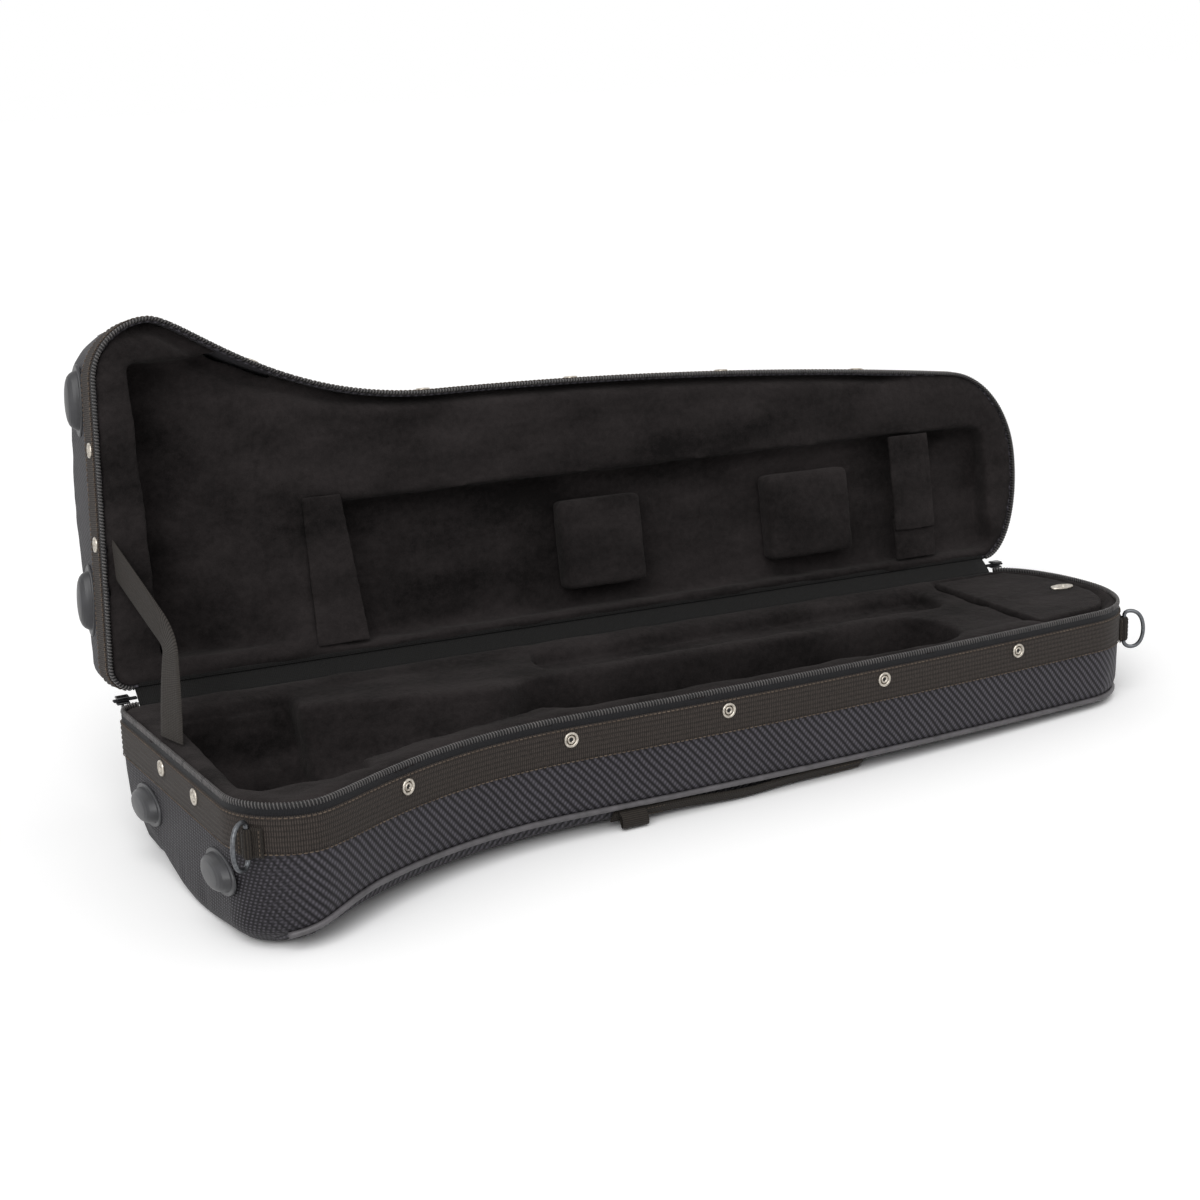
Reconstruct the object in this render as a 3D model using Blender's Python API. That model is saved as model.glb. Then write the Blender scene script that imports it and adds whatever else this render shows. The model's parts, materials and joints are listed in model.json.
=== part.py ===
"""Zip-up carrying case for a tenor trombone, standing open on its base. Metres, +Z up.

Both halves are lofted round one rim outline. A spot on the case has u, along the hinge from the
bell end, and w, from the hinge to the zip. Its depth runs from the parting plane into the half.
"""
import math
from collections import namedtuple

import bmesh
import bpy
from mathutils import Matrix, Vector

# Outline of the rim, seen from above
CASE_LENGTH = 0.940
BELL_WIDTH = 0.306
WAIST_WIDTH = 0.2225
TAIL_WIDTH = 0.1904
WAIST_AT_SHARE = 0.34
TAIL_ROUND_LENGTH = 0.0675
TAIL_ROUND_WIDTH = 0.0894
TAIL_HINGE_ROUND = 0.047
BELL_CORNER = 0.049
HINGE_CORNER = 0.018
END_RAKE = 0.0195
ARC_SHARE = 0.5523
FLARE_SHARES = (0.12, 0.60)
BOW_SHARE = 0.333
BOW_RISE_SHARE = 0.66
TAIL_ARC_SHARE = 0.55
RIM_STEPS = (4, 3, 6, 9, 8, 7, 7, 8)
CORNER_ARC, WALL_ARC, FRONT_CORNER_ARC, FLARE_ARC, BOW_ARC, TAIL_ARC, TAIL_HINGE_ARC, HINGE_ARC = range(8)

# Depth of the two halves below the parting plane
BASE_BELL_DEPTH = 0.119
BASE_TAIL_DEPTH = 0.096
LID_BELL_DEPTH = 0.124
LID_TAIL_DEPTH = 0.098
SIDE_SHARE = 0.9167
BELL_CORNER_SHARE = 0.915
HINGE_CORNER_SHARE = 0.660
END_MIDDLE_SHARE = 0.195
CORNER_DROP_FROM = 0.130
CORNER_DROP_TO = 0.008
SIDE_STRAIGHT_ABOVE_PIPING = 0.012
PIPING_INSET = 0.006
ROUND_INSET = 0.014
END_STRAIGHT_ABOVE = 0.011
END_PIPING_INSET = 0.0035
END_ROUND_INSET = 0.009
END_BLEND = 0.050
ROUND_DROP_SHARE = 0.54
BELLY_DROP_SHARE = 0.78
BELLY_IN_SHARE = 0.28
FLAT_FRONT_SHARE = 0.45
FLAT_SPINE_SHARE = 0.16
BELL_MIDDLE = 0.100
TAIL_MIDDLE = 0.075
BASE_WALL = 0.010
BASE_FLOOR_WALL = 0.012
LID_WALL = 0.0075
LID_FLOOR_WALL = 0.008
CAVITY_STRAIGHT_SHARE = 0.685
CAVITY_IN_SHARE = 0.30

# Clearances
GAP = 0.0003
RIM_GAP = 0.001
OVERRUN = 0.010

# Hinge line and how far the lid stands open
HINGE_OUT = 0.008
OPEN_ANGLE = math.radians(99.57)

# Zip, webbing band and piping round the rim
COIL_INSET = 0.0016
COIL_OUT = 0.0010
COIL_HEIGHT = 0.0050
TAPE_THICK = 0.0008
TAPE_HEIGHT = 0.0051
BAND_THICK = 0.0020
BAND_WIDTH = 0.0298
PIPING_RADIUS = 0.0025
PIPING_CENTRE_INSET = 0.0024
PIPING_CORNER_STEPS = 2

# Plush linings
LINING_EDGE = 0.0032
LINING_TOP = 0.0020
LINING_IN_SHARE = 0.305
LID_LINING_BELL_DEPTH = 0.082
LID_LINING_TAIL_DEPTH = 0.042

# Recesses in the base lining
BELL_SLOT_SPAN_SHARES = (0.0383, 0.1436)
BELL_SLOT_RADIUS = BELL_WIDTH * 0.366
BELL_SLOT_MIDDLE = BELL_WIDTH * 0.464
BELL_SLOT_DEPTH = BASE_BELL_DEPTH * 0.773
FLARE_SPAN_SHARES = (0.1064, 0.367)
FLARE_RADIUS = BASE_BELL_DEPTH * 0.714
STEM_RADIUS = 0.020
STEM_MIDDLE = WAIST_WIDTH * 0.652
BODY_RECESS_SPAN_SHARES = (0.319, 0.782)
BODY_RECESS_SIDE_SHARES = (0.45, 0.854)
BODY_RECESS_DEPTH = 0.045
BODY_RECESS_CORNER_SHARE = 0.445
CHANNEL_SPAN_SHARES = (0.383, 0.830)
CHANNEL_SIDE_SHARES = (0.135, 0.360)
CHANNEL_DEPTH = 0.018
CHANNEL_CORNER_SHARE = 0.24

# Accessory compartment at the narrow end and its lid
COMPARTMENT_FROM = CASE_LENGTH * 0.8617
COMPARTMENT_MARGIN = 0.0135
COMPARTMENT_LEDGE = 0.008
COMPARTMENT_DEPTH = BASE_TAIL_DEPTH * 0.646
COMPARTMENT_LID_THICK = 0.0087
COMPARTMENT_CLEAR = 0.0013
PULL_FROM_EDGE = 0.022
PULL_LENGTH = 0.026
PULL_WIDTH = 0.014
PULL_THICK = 0.0016
PULL_EYELET = 0.0035

# Recesses, pocket flap, blocks and straps in the lid
LID_BELL_FROM = CASE_LENGTH * 0.05
LID_BELL_TO = CASE_LENGTH * 0.1894
LID_BELL_HINGE_SIDE = 0.020
LID_BELL_FRONT_SIDE = BELL_WIDTH * 0.882
LID_BELL_DEEP = LID_LINING_BELL_DEPTH * 0.732
SLIDE_FROM = CASE_LENGTH * 0.2128
SLIDE_TO = CASE_LENGTH - 0.035
SLIDE_HINGE_SIDE = 0.0135
SLIDE_FRONT_SIDE = TAIL_WIDTH * 0.709
SLIDE_DEPTH = LID_LINING_TAIL_DEPTH * 0.667
SLIDE_CORNER = 0.014
FLAP_BEFORE_SLIDE = 0.018
FLAP_OVER_HINGE_END = 0.030
FLAP_OVER_FRONT_END = 0.0175
FLAP_FRONT_MARGIN = 0.007
FLAP_HINGE_MARGIN = 0.0025
FLAP_THICK = 0.0026
FLAP_SINK = 0.0006
BLOCK_FROM_SHARES = (0.4543, 0.6894)
BLOCK_LENGTH_SHARES = (0.0888, 0.0989)
BLOCK_SIDE_SHARES = (0.147, 0.583)
BLOCK_TOP = 0.004
BLOCK_EDGE = 0.004
RETAINER_FROM = CASE_LENGTH * 0.8394
RETAINER_WIDTH = 0.047
RETAINER_THICK = 0.0024
RETAINER_TOP = 0.0007
RETAINER_LAP_FROM = 0.040
RETAINER_LAP = 0.012
RETAINER_SEAT_FROM = 0.0108

# Hollow rivets
RIVET_RADIUS = 0.0066
RIVET_HOLE = 0.0026
RIVET_HEIGHT = 0.0018
RIVET_DISH = 0.0006
RIVET_CREST_SHARE = 0.6
RIVET_STEPS = 16
FRONT_RIVET_SHARES = (0.166, 0.331, 0.487, 0.657, 0.820)
END_RIVET_SHARES = (0.40, 0.658)
RIVET_DEPTH = 0.0205

# Domed feet on the bell end, rubber feet below the narrow end
END_FOOT_LENGTH = 0.062
END_FOOT_HEIGHT = 0.033
END_FOOT_FLANGE = 0.0025
END_FOOT_RISE = 0.0115
END_FOOT_SHARES = (0.24, 0.80)
END_FOOT_DEPTH = 0.066
END_FOOT_DOME_SHARES = ((0.84, 0.0), (0.78, 0.5), (0.60, 0.86), (0.30, 1.0))
END_FOOT_STEPS = 24
FOOT_RADIUS = 0.013
FOOT_INSET = 0.018
FOOT_AT_SHARES = (0.52, 0.55)
FOOT_STEPS = 24

# D-rings, their tabs and the grab handle
RING_WIRE = 0.0020
RING_HEIGHT = 0.036
RING_BULGE = 0.018
RING_DEPTH = 0.0305
RING_CLEAR = 0.0004
RING_SQUARENESS = 0.6
RING_ARC_STEPS = 12
TAB_THICK = 0.0016
TAB_LENGTH = 0.022
TAB_HEIGHT = 0.026
TAB_ARC_STEPS = 8
TAB_HOLE_STEPS = 16
BELL_RING_AT_SHARE = 0.40
TAIL_RING_AT_SHARE = 0.52
GRAB_FROM_SHARE = 0.80
GRAB_TO_SHARE = 0.48
GRAB_STEPS = 7
GRAB_THICK = 0.0030
GRAB_WIDTH = 0.034
GRAB_BULGE = 0.013
GRAB_SEWN_SHARE = 0.16

# Carry handles and their sewn anchors
HANDLE_FROM = CASE_LENGTH * 0.3745
HANDLE_TO = CASE_LENGTH * 0.6404
ANCHOR_FROM_SHARES = (0.3957, 0.6064)
ANCHOR_LENGTH = 0.030
ANCHOR_THICK = 0.0016
ANCHOR_WIDTH = 0.014
HANDLE_WIDTH = 0.0143
HANDLE_THICK = 0.0026
HANDLE_STEPS = 10

# Fabric spine hinge and stay strap
SPINE_THICK = 0.0012
SPINE_LEG = 0.036
SPINE_EASE_SHARE = 0.1
SPINE_BEND_SHARES = (0.0, 0.2, 0.4, 0.6, 0.8, 1.0)
STAY_WIDTH = 0.025
STAY_THICK = 0.0016
STAY_LID_AT = 0.108
STAY_BASE_AT = 0.118
STAY_INSET = 0.0082
STAY_ELBOW = (0.031, -0.046, 0.060)
STAY_SKEW_SHARE = 0.55
STAY_STEPS = 8

# Zip sliders, pull tabs and the sewn-together tape ends that carry them
TAIL_WIDE = 0.0050
TAIL_THICK = 0.0014
TAIL_REACH = 0.020
SLIDER_LENGTH = 0.0110
SLIDER_WIDTH = 0.0086
SLIDER_HEIGHT = 0.0064
SLIDER_CLEAR = 0.0004
SLIDER_BEVEL = 0.0008
SLIDER_FROM_CORNER = 0.006
PULL_TAB_LENGTH = 0.026
PULL_TAB_WIDTH = 0.0060
PULL_TAB_THICK = 0.0014
PULL_TAB_NECK = 0.0010

RimPoint = namedtuple("RimPoint", "spot out arc")


def clear_scene():
    for item in list(bpy.data.objects):
        bpy.data.objects.remove(item, do_unlink=True)


def collection(name):
    made = bpy.data.collections.new(name)
    bpy.context.scene.collection.children.link(made)
    return made


def material(name, colour, roughness, metallic=0.0):
    made = bpy.data.materials.new(name)
    made.use_nodes = True
    shader = made.node_tree.nodes["Principled BSDF"]
    shader.inputs["Base Color"].default_value = (*colour, 1.0)
    shader.inputs["Roughness"].default_value = roughness
    shader.inputs["Metallic"].default_value = metallic
    return made


def smooth(t):
    t = min(max(t, 0.0), 1.0)
    return t * t * (3 - 2 * t)


def mix(a, b, t):
    return a + (b - a) * t


def cubic(arc, t):
    """Place and direction on a cubic arc of four control points."""
    a, b, c, d = (Vector(point) for point in arc)
    s = 1 - t
    place = a * s ** 3 + b * (3 * s * s * t) + c * (3 * s * t * t) + d * t ** 3
    along = (b - a) * (s * s) + (c - b) * (2 * s * t) + (d - c) * (t * t)
    return place, along.normalized()


def straight(a, b):
    return (a, tuple(Vector(a).lerp(Vector(b), 1 / 3)), tuple(Vector(a).lerp(Vector(b), 2 / 3)), b)


def rim_arcs():
    """Eight arcs from the hinge line at the bell end, round the zip side, back along the hinge."""
    waist_u = CASE_LENGTH * WAIST_AT_SHARE
    tail_u = CASE_LENGTH - TAIL_ROUND_LENGTH
    tail_w = TAIL_WIDTH - TAIL_ROUND_WIDTH
    rake = END_RAKE / BELL_WIDTH
    low = Vector((rake * HINGE_CORNER, HINGE_CORNER))
    wall = Vector((rake, 1.0)).normalized()
    high = Vector((rake * (BELL_WIDTH - BELL_CORNER), BELL_WIDTH - BELL_CORNER))
    flare_u = END_RAKE + BELL_CORNER
    flare = waist_u - flare_u
    bow = (tail_u - waist_u) * BOW_SHARE
    drop = (WAIST_WIDTH - TAIL_WIDTH) * BOW_RISE_SHARE
    slope = drop / bow
    near = TAIL_ROUND_LENGTH * TAIL_ARC_SHARE
    hinge_end = CASE_LENGTH - TAIL_HINGE_ROUND
    corner = ((HINGE_CORNER, 0), (HINGE_CORNER * (1 - ARC_SHARE), 0),
              tuple(low - wall * HINGE_CORNER * ARC_SHARE), tuple(low))
    front_corner = (tuple(high), tuple(high + wall * BELL_CORNER * ARC_SHARE),
                    (flare_u - BELL_CORNER * ARC_SHARE, BELL_WIDTH), (flare_u, BELL_WIDTH))
    flared = ((flare_u, BELL_WIDTH), (flare_u + flare * FLARE_SHARES[0], BELL_WIDTH),
              (waist_u - flare * FLARE_SHARES[1], WAIST_WIDTH), (waist_u, WAIST_WIDTH))
    bowed = ((waist_u, WAIST_WIDTH), (waist_u + bow, WAIST_WIDTH),
             (tail_u - bow, TAIL_WIDTH + drop), (tail_u, TAIL_WIDTH))
    tail = ((tail_u, TAIL_WIDTH), (tail_u + near, TAIL_WIDTH - slope * near),
            (CASE_LENGTH, tail_w + TAIL_ROUND_WIDTH * TAIL_ARC_SHARE), (CASE_LENGTH, tail_w))
    tail_hinge = ((CASE_LENGTH, tail_w), (CASE_LENGTH, tail_w * (1 - TAIL_ARC_SHARE)),
                  (hinge_end + TAIL_HINGE_ROUND * TAIL_ARC_SHARE, 0), (hinge_end, 0))
    hinge = straight((hinge_end, 0), (HINGE_CORNER, 0))
    return [corner, straight(tuple(low), tuple(high)), front_corner, flared, bowed, tail, tail_hinge, hinge]


ARCS = rim_arcs()


def rim_at(arc, t):
    spot, along = cubic(ARCS[arc], t)
    return RimPoint(spot, Vector((-along.y, along.x)), arc)


RIM = [rim_at(arc, step / steps) for arc, steps in enumerate(RIM_STEPS) for step in range(steps)]
ZIP_LINE = RIM[:len(RIM) - RIM_STEPS[HINGE_ARC] + 1]
FRONT_LINE = [point for point in RIM if FRONT_CORNER_ARC <= point.arc <= TAIL_ARC]


def front_width(u):
    """Width of the case at u, from the hinge to the zip side."""
    if u <= FRONT_LINE[0].spot.x:
        return FRONT_LINE[0].spot.y
    for a, b in zip(FRONT_LINE, FRONT_LINE[1:]):
        if u <= b.spot.x:
            return mix(a.spot.y, b.spot.y, (u - a.spot.x) / (b.spot.x - a.spot.x))
    return FRONT_LINE[-1].spot.y


def out(point, amount):
    return point.spot + point.out * amount


def inward(point, share):
    """The spot a share of the way from the rim to the middle line of the case."""
    u = min(max(point.spot.x, BELL_MIDDLE), CASE_LENGTH - TAIL_MIDDLE)
    return point.spot.lerp(Vector((u, front_width(u) / 2)), share)


def flat_share(point):
    across = min(max(point.spot.y / front_width(point.spot.x), 0.0), 1.0)
    return mix(FLAT_SPINE_SHARE, FLAT_FRONT_SHARE, smooth(across))


class Half:
    """One half of the case: where its spots lie in its parent's space, and how deep it is."""

    def __init__(self, name, parent, depths, walls):
        self.name = name
        self.parent = parent
        self.bell_depth, self.tail_depth = depths
        self.wall, self.floor_wall = walls
        self.lid = name == "lid"

    def place(self, spot, depth):
        if self.lid:
            return Vector((spot[0], -spot[1] - HINGE_OUT, depth + RIM_GAP / 2))
        return Vector((spot[0], -spot[1], -depth))

    def floor(self, u):
        return mix(self.bell_depth, self.tail_depth, u / CASE_LENGTH)

    def piping(self, spot):
        """Depth of the piping below the parting plane."""
        across = min(max(spot.y / BELL_WIDTH, 0.0), 1.0)
        bow = END_MIDDLE_SHARE * smooth(1 - abs(across * 2 - 1))
        corner = self.bell_depth * (mix(HINGE_CORNER_SHARE, BELL_CORNER_SHARE, across) + bow)
        near_bell = smooth((CORNER_DROP_FROM - spot.x) / (CORNER_DROP_FROM - CORNER_DROP_TO))
        return mix(self.tail_depth * SIDE_SHARE, corner, near_bell)

    def cavity(self):
        """Depth down to which the cavity keeps straight walls."""
        return self.tail_depth * CAVITY_STRAIGHT_SHARE


def bridged(rings):
    """Closed body through rings of equal count, capped at its first and last ring."""
    bm = bmesh.new()
    rows = [[bm.verts.new(spot) for spot in ring] for ring in rings]
    count = len(rows[0])
    for first, second in zip(rows, rows[1:]):
        for i in range(count):
            j = (i + 1) % count
            bm.faces.new((first[i], first[j], second[j], second[i]))
    bm.faces.new(rows[0])
    bm.faces.new(rows[-1])
    bmesh.ops.recalc_face_normals(bm, faces=bm.faces)
    return bm


def loft(half, rings):
    """Closed body through rings of spots and depths in a half."""
    return bridged([[half.place(spot, depth) for spot, depth in ring] for ring in rings])


def swept(half, section, points):
    """Body whose section, in offsets and depths, runs along points of the rim."""
    return loft(half, [[(out(point, offset), depth) for offset, depth in section] for point in points])


def rectangle(offset_a, offset_b, depth_a, depth_b):
    return ((offset_a, depth_a), (offset_b, depth_a), (offset_b, depth_b), (offset_a, depth_b))


def prism(half, outline, depth_a, depth_b):
    return loft(half, [[(Vector(spot), depth) for spot in outline] for depth in (depth_a, depth_b)])


def box_outline(u_a, u_b, w_a, w_b):
    return [(u_a, w_a), (u_b, w_a), (u_b, w_b), (u_a, w_b)]


def rounded_box(half, spans, edges, radius, steps):
    """Box over spans of u, w and depth, with its upright edges or all its edges rounded."""
    (u_a, u_b), (w_a, w_b), (depth_a, depth_b) = spans
    bm = prism(half, box_outline(u_a, u_b, w_a, w_b), depth_a, depth_b)
    upright = [edge for edge in bm.edges if abs(edge.verts[0].co.z - edge.verts[1].co.z) > radius]
    chosen = upright if edges == "upright" else list(bm.edges)
    bmesh.ops.bevel(bm, geom=chosen, offset=radius, segments=steps, profile=0.5, affect="EDGES")
    return bm


def add(name, bm, finish, parent, home, sharp=35):
    mesh = bpy.data.meshes.new(name)
    bm.to_mesh(mesh)
    bm.free()
    mesh.shade_smooth()
    mesh.set_sharp_from_angle(angle=math.radians(sharp))
    made = bpy.data.objects.new(name, mesh)
    mesh.materials.append(finish)
    made.parent = parent
    home.objects.link(made)
    return made


def pivot(item, spot):
    """Moves the object's origin to its joint axis."""
    item.data.transform(Matrix.Translation(-Vector(spot)))
    item.location = spot


def cut(item, name, bm, finish, cutters):
    """Takes the shape away from the item with a Boolean."""
    cutter = add(name, bm, finish, item.parent, cutters)
    cutter.hide_render = True
    cutter.display_type = "WIRE"
    cutter.location = item.location
    cutter.data.transform(Matrix.Translation(-item.location))
    taken = item.modifiers.new(name, "BOOLEAN")
    taken.operation = "DIFFERENCE"
    taken.solver = "EXACT"
    taken.object = cutter


def near_end(point):
    """1 on the bell end wall, falling to 0 a little way along the case."""
    return smooth(1 - point.spot.x / END_BLEND)


def outside_rings(half, grow):
    """Rings down the outside of a half, from its rim to the flat of its underside."""
    rim_top = COIL_HEIGHT + GAP
    rings = [[], [], [], [], [], []]
    for point in RIM:
        piping = half.piping(point.spot)
        end = near_end(point)
        flat = inward(point, flat_share(point))
        rounded = out(point, grow - mix(ROUND_INSET, END_ROUND_INSET, end))
        belly = rounded.lerp(flat, BELLY_IN_SHARE)
        fall = half.floor(point.spot.x) - piping
        rings[0].append((out(point, grow), rim_top))
        rings[1].append((out(point, grow), piping - mix(SIDE_STRAIGHT_ABOVE_PIPING, END_STRAIGHT_ABOVE, end)))
        rings[2].append((out(point, grow - mix(PIPING_INSET, END_PIPING_INSET, end)), piping + grow))
        rings[3].append((rounded, piping + grow + fall * ROUND_DROP_SHARE))
        rings[4].append((belly, piping + grow + fall * BELLY_DROP_SHARE))
        rings[5].append((flat, half.floor(flat.x) + grow))
    return rings


def shell(half, finish, home):
    """Board-stiffened outer shell: an open pan with a flat underside."""
    rim_top = COIL_HEIGHT + GAP
    inner = [[(out(point, -half.wall), rim_top) for point in RIM],
             [(out(point, -half.wall), half.cavity()) for point in RIM],
             []]
    for point in RIM:
        spot = inward(point, CAVITY_IN_SHARE)
        inner[2].append((spot, half.floor(spot.x) - half.floor_wall))
    rings = list(reversed(outside_rings(half, 0))) + inner
    return add(half.name + "_shell", loft(half, rings), finish, half.parent, home)


def lining(half, bottom, finish, home):
    """Plush-covered foam insert that fills the shell; its recesses are cut afterwards."""
    flange = COIL_HEIGHT
    side = -half.wall - GAP
    rings = [[(out(point, -LINING_EDGE), LINING_TOP) for point in RIM],
             [(out(point, -LINING_EDGE), flange) for point in RIM],
             [(out(point, side), flange) for point in RIM],
             [(out(point, side), min(half.cavity() - GAP, bottom(CASE_LENGTH))) for point in RIM],
             []]
    for point in RIM:
        spot = inward(point, LINING_IN_SHARE)
        rings[4].append((spot, bottom(spot.x)))
    return add(half.name + "_lining", loft(half, rings), finish, half.parent, home)


def piping(half, finish, home):
    """Round piping where the side fabric meets the underside, all round but for the bell end."""
    points = RIM[sum(RIM_STEPS[:FLARE_ARC]) - PIPING_CORNER_STEPS:] + RIM[:1]
    curve = bpy.data.curves.new(half.name + "_piping", "CURVE")
    curve.dimensions = "3D"
    curve.twist_mode = "Z_UP"
    curve.bevel_depth = PIPING_RADIUS
    curve.bevel_resolution = 2
    spline = curve.splines.new("POLY")
    spline.points.add(len(points) - 1)
    for control, point in zip(spline.points, points):
        spot = out(point, -PIPING_CENTRE_INSET - mix(0, END_PIPING_INSET - PIPING_INSET, near_end(point)))
        control.co = (*half.place(spot, half.piping(point.spot)), 1.0)
    curve.use_fill_caps = True
    made = bpy.data.objects.new(half.name + "_piping", curve)
    curve.materials.append(finish)
    made.parent = half.parent
    home.objects.link(made)
    return made


def rim_strips(half, finishes, home):
    """Zip coil and zip tape along the rim, and the webbing band below them."""
    tape_from = COIL_HEIGHT + GAP
    band_from = tape_from + TAPE_HEIGHT + GAP
    sections = {
        "zip_coil": (rectangle(-COIL_INSET, COIL_OUT, 0, COIL_HEIGHT), "coil"),
        "zip_tape": (rectangle(GAP, GAP + TAPE_THICK, tape_from, tape_from + TAPE_HEIGHT), "tape"),
        "webbing_band": (rectangle(GAP, GAP + BAND_THICK, band_from, band_from + BAND_WIDTH), "webbing"),
    }
    for name, (section, finish) in sections.items():
        add(half.name + "_" + name, swept(half, section, ZIP_LINE), finishes[finish], half.parent, home)


def wall_frame(half, point, offset, depth):
    """Turns local (along, up, out) into the half's space at a point of the rim."""
    origin = half.place(out(point, offset), depth)
    outward = half.place(out(point, offset + CASE_LENGTH), depth) - origin
    upward = half.place(out(point, offset), depth - CASE_LENGTH) - origin
    outward.normalize()
    upward.normalize()
    along = upward.cross(outward)
    frame = Matrix((along, upward, outward)).transposed().to_4x4()
    frame.translation = origin
    return frame


def turned(profile, steps):
    """Ring turned round the out axis from a closed profile of radius and height."""
    bm = bmesh.new()
    verts = [bm.verts.new((radius, 0, height)) for radius, height in profile]
    edges = [bm.edges.new((verts[i], verts[(i + 1) % len(verts)])) for i in range(len(verts))]
    bmesh.ops.spin(bm, geom=verts + edges, cent=(0, 0, 0), axis=(0, 0, 1), angle=math.tau,
                   steps=steps, use_merge=True)
    bmesh.ops.recalc_face_normals(bm, faces=bm.faces)
    return bm


def rivet(half, name, point, finish, home):
    """Hollow rivet through the webbing band."""
    profile = ((RIVET_HOLE, 0), (RIVET_RADIUS, 0), (RIVET_RADIUS - RIVET_DISH, RIVET_HEIGHT - RIVET_DISH),
               (mix(RIVET_HOLE, RIVET_RADIUS, RIVET_CREST_SHARE), RIVET_HEIGHT),
               (RIVET_HOLE, RIVET_HEIGHT - RIVET_DISH))
    bm = turned(profile, RIVET_STEPS)
    frame = wall_frame(half, point, GAP + BAND_THICK + GAP, RIVET_DEPTH)
    bmesh.ops.transform(bm, matrix=frame, verts=bm.verts)
    bmesh.ops.recalc_face_normals(bm, faces=bm.faces)
    return add(name, bm, finish, half.parent, home)


def front_point(u):
    """The place on the zip side at u, on the straight facet between two rim points."""
    for a, b in zip(FRONT_LINE, FRONT_LINE[1:]):
        if a.spot.x <= u <= b.spot.x:
            return facet_point(a, b, (u - a.spot.x) / (b.spot.x - a.spot.x))
    return FRONT_LINE[0]


def facet_point(a, b, share):
    along = (b.spot - a.spot).normalized()
    return RimPoint(a.spot.lerp(b.spot, share), Vector((-along.y, along.x)), a.arc)


def facet_at(arc, share):
    """The middle of the rim facet that holds a share of an arc."""
    first = sum(RIM_STEPS[:arc]) + int(share * RIM_STEPS[arc])
    return facet_point(RIM[first], RIM[first + 1], 0.5)


def end_point(w):
    """The rim point on the bell end wall at w."""
    low = ARCS[WALL_ARC][0][1]
    high = ARCS[WALL_ARC][3][1]
    return rim_at(WALL_ARC, (w - low) / (high - low))


def rivets(half, finish, home):
    for number, share in enumerate(FRONT_RIVET_SHARES, 1):
        name = "%s_front_rivet_%d" % (half.name, number)
        rivet(half, name, front_point(CASE_LENGTH * share), finish, home)
    for number, share in enumerate(END_RIVET_SHARES, 1):
        name = "%s_end_rivet_%d" % (half.name, number)
        rivet(half, name, end_point(BELL_WIDTH * share), finish, home)


def end_feet(half, finish, home):
    """Domed oval feet that the case stands on when it is set on its bell end."""
    stages = [(1.0, 0), (1.0, END_FOOT_FLANGE)]
    stages += [(scale, mix(END_FOOT_FLANGE, END_FOOT_RISE, share)) for scale, share in END_FOOT_DOME_SHARES]
    turns = [math.tau * step / END_FOOT_STEPS for step in range(END_FOOT_STEPS)]
    oval = [(END_FOOT_LENGTH / 2 * math.cos(turn), END_FOOT_HEIGHT / 2 * math.sin(turn)) for turn in turns]
    for number, share in enumerate(END_FOOT_SHARES, 1):
        bm = bridged([[(scale * x, scale * y, height) for x, y in oval] for scale, height in stages])
        frame = wall_frame(half, end_point(BELL_WIDTH * share), GAP, END_FOOT_DEPTH)
        bmesh.ops.transform(bm, matrix=frame, verts=bm.verts)
        bmesh.ops.recalc_face_normals(bm, faces=bm.faces)
        add("%s_end_foot_%d" % (half.name, number), bm, finish, half.parent, home)


def underside_feet(half, finish, home, cutters):
    """Rubber feet that fill the space between the rounded underside and the floor."""
    places = {"front": facet_at(TAIL_ARC, FOOT_AT_SHARES[0]),
              "spine": facet_at(TAIL_HINGE_ARC, FOOT_AT_SHARES[1])}
    top = half.tail_depth * SIDE_SHARE + PIPING_RADIUS + GAP
    for side, point in places.items():
        u, w = out(point, -FOOT_INSET)
        turns = [math.tau * step / FOOT_STEPS for step in range(FOOT_STEPS)]
        ring = [Vector((u, w)) + Vector((math.cos(turn), math.sin(turn))) * FOOT_RADIUS for turn in turns]
        rings = [[(spot, top) for spot in ring], [(spot, half.floor(spot.x)) for spot in ring]]
        foot = add("underside_foot_" + side, loft(half, rings), finish, half.parent, home)
        cut(foot, "foot_seat_" + side, loft(half, outside_rings(half, GAP)), finish, cutters)


def tail_outline(u_from, margin):
    """The narrow end of the rim inside a margin, closed by a straight edge at u_from."""
    inside = []
    for point in RIM[FRONT_CORNER_ARC + 1:]:
        spot = out(point, -margin)
        if point.arc >= BOW_ARC and spot.x > u_from + margin / 2:
            inside.append((spot.x, spot.y))
    return [(u_from, front_width(u_from) - margin)] + inside + [(u_from, margin)]


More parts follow.
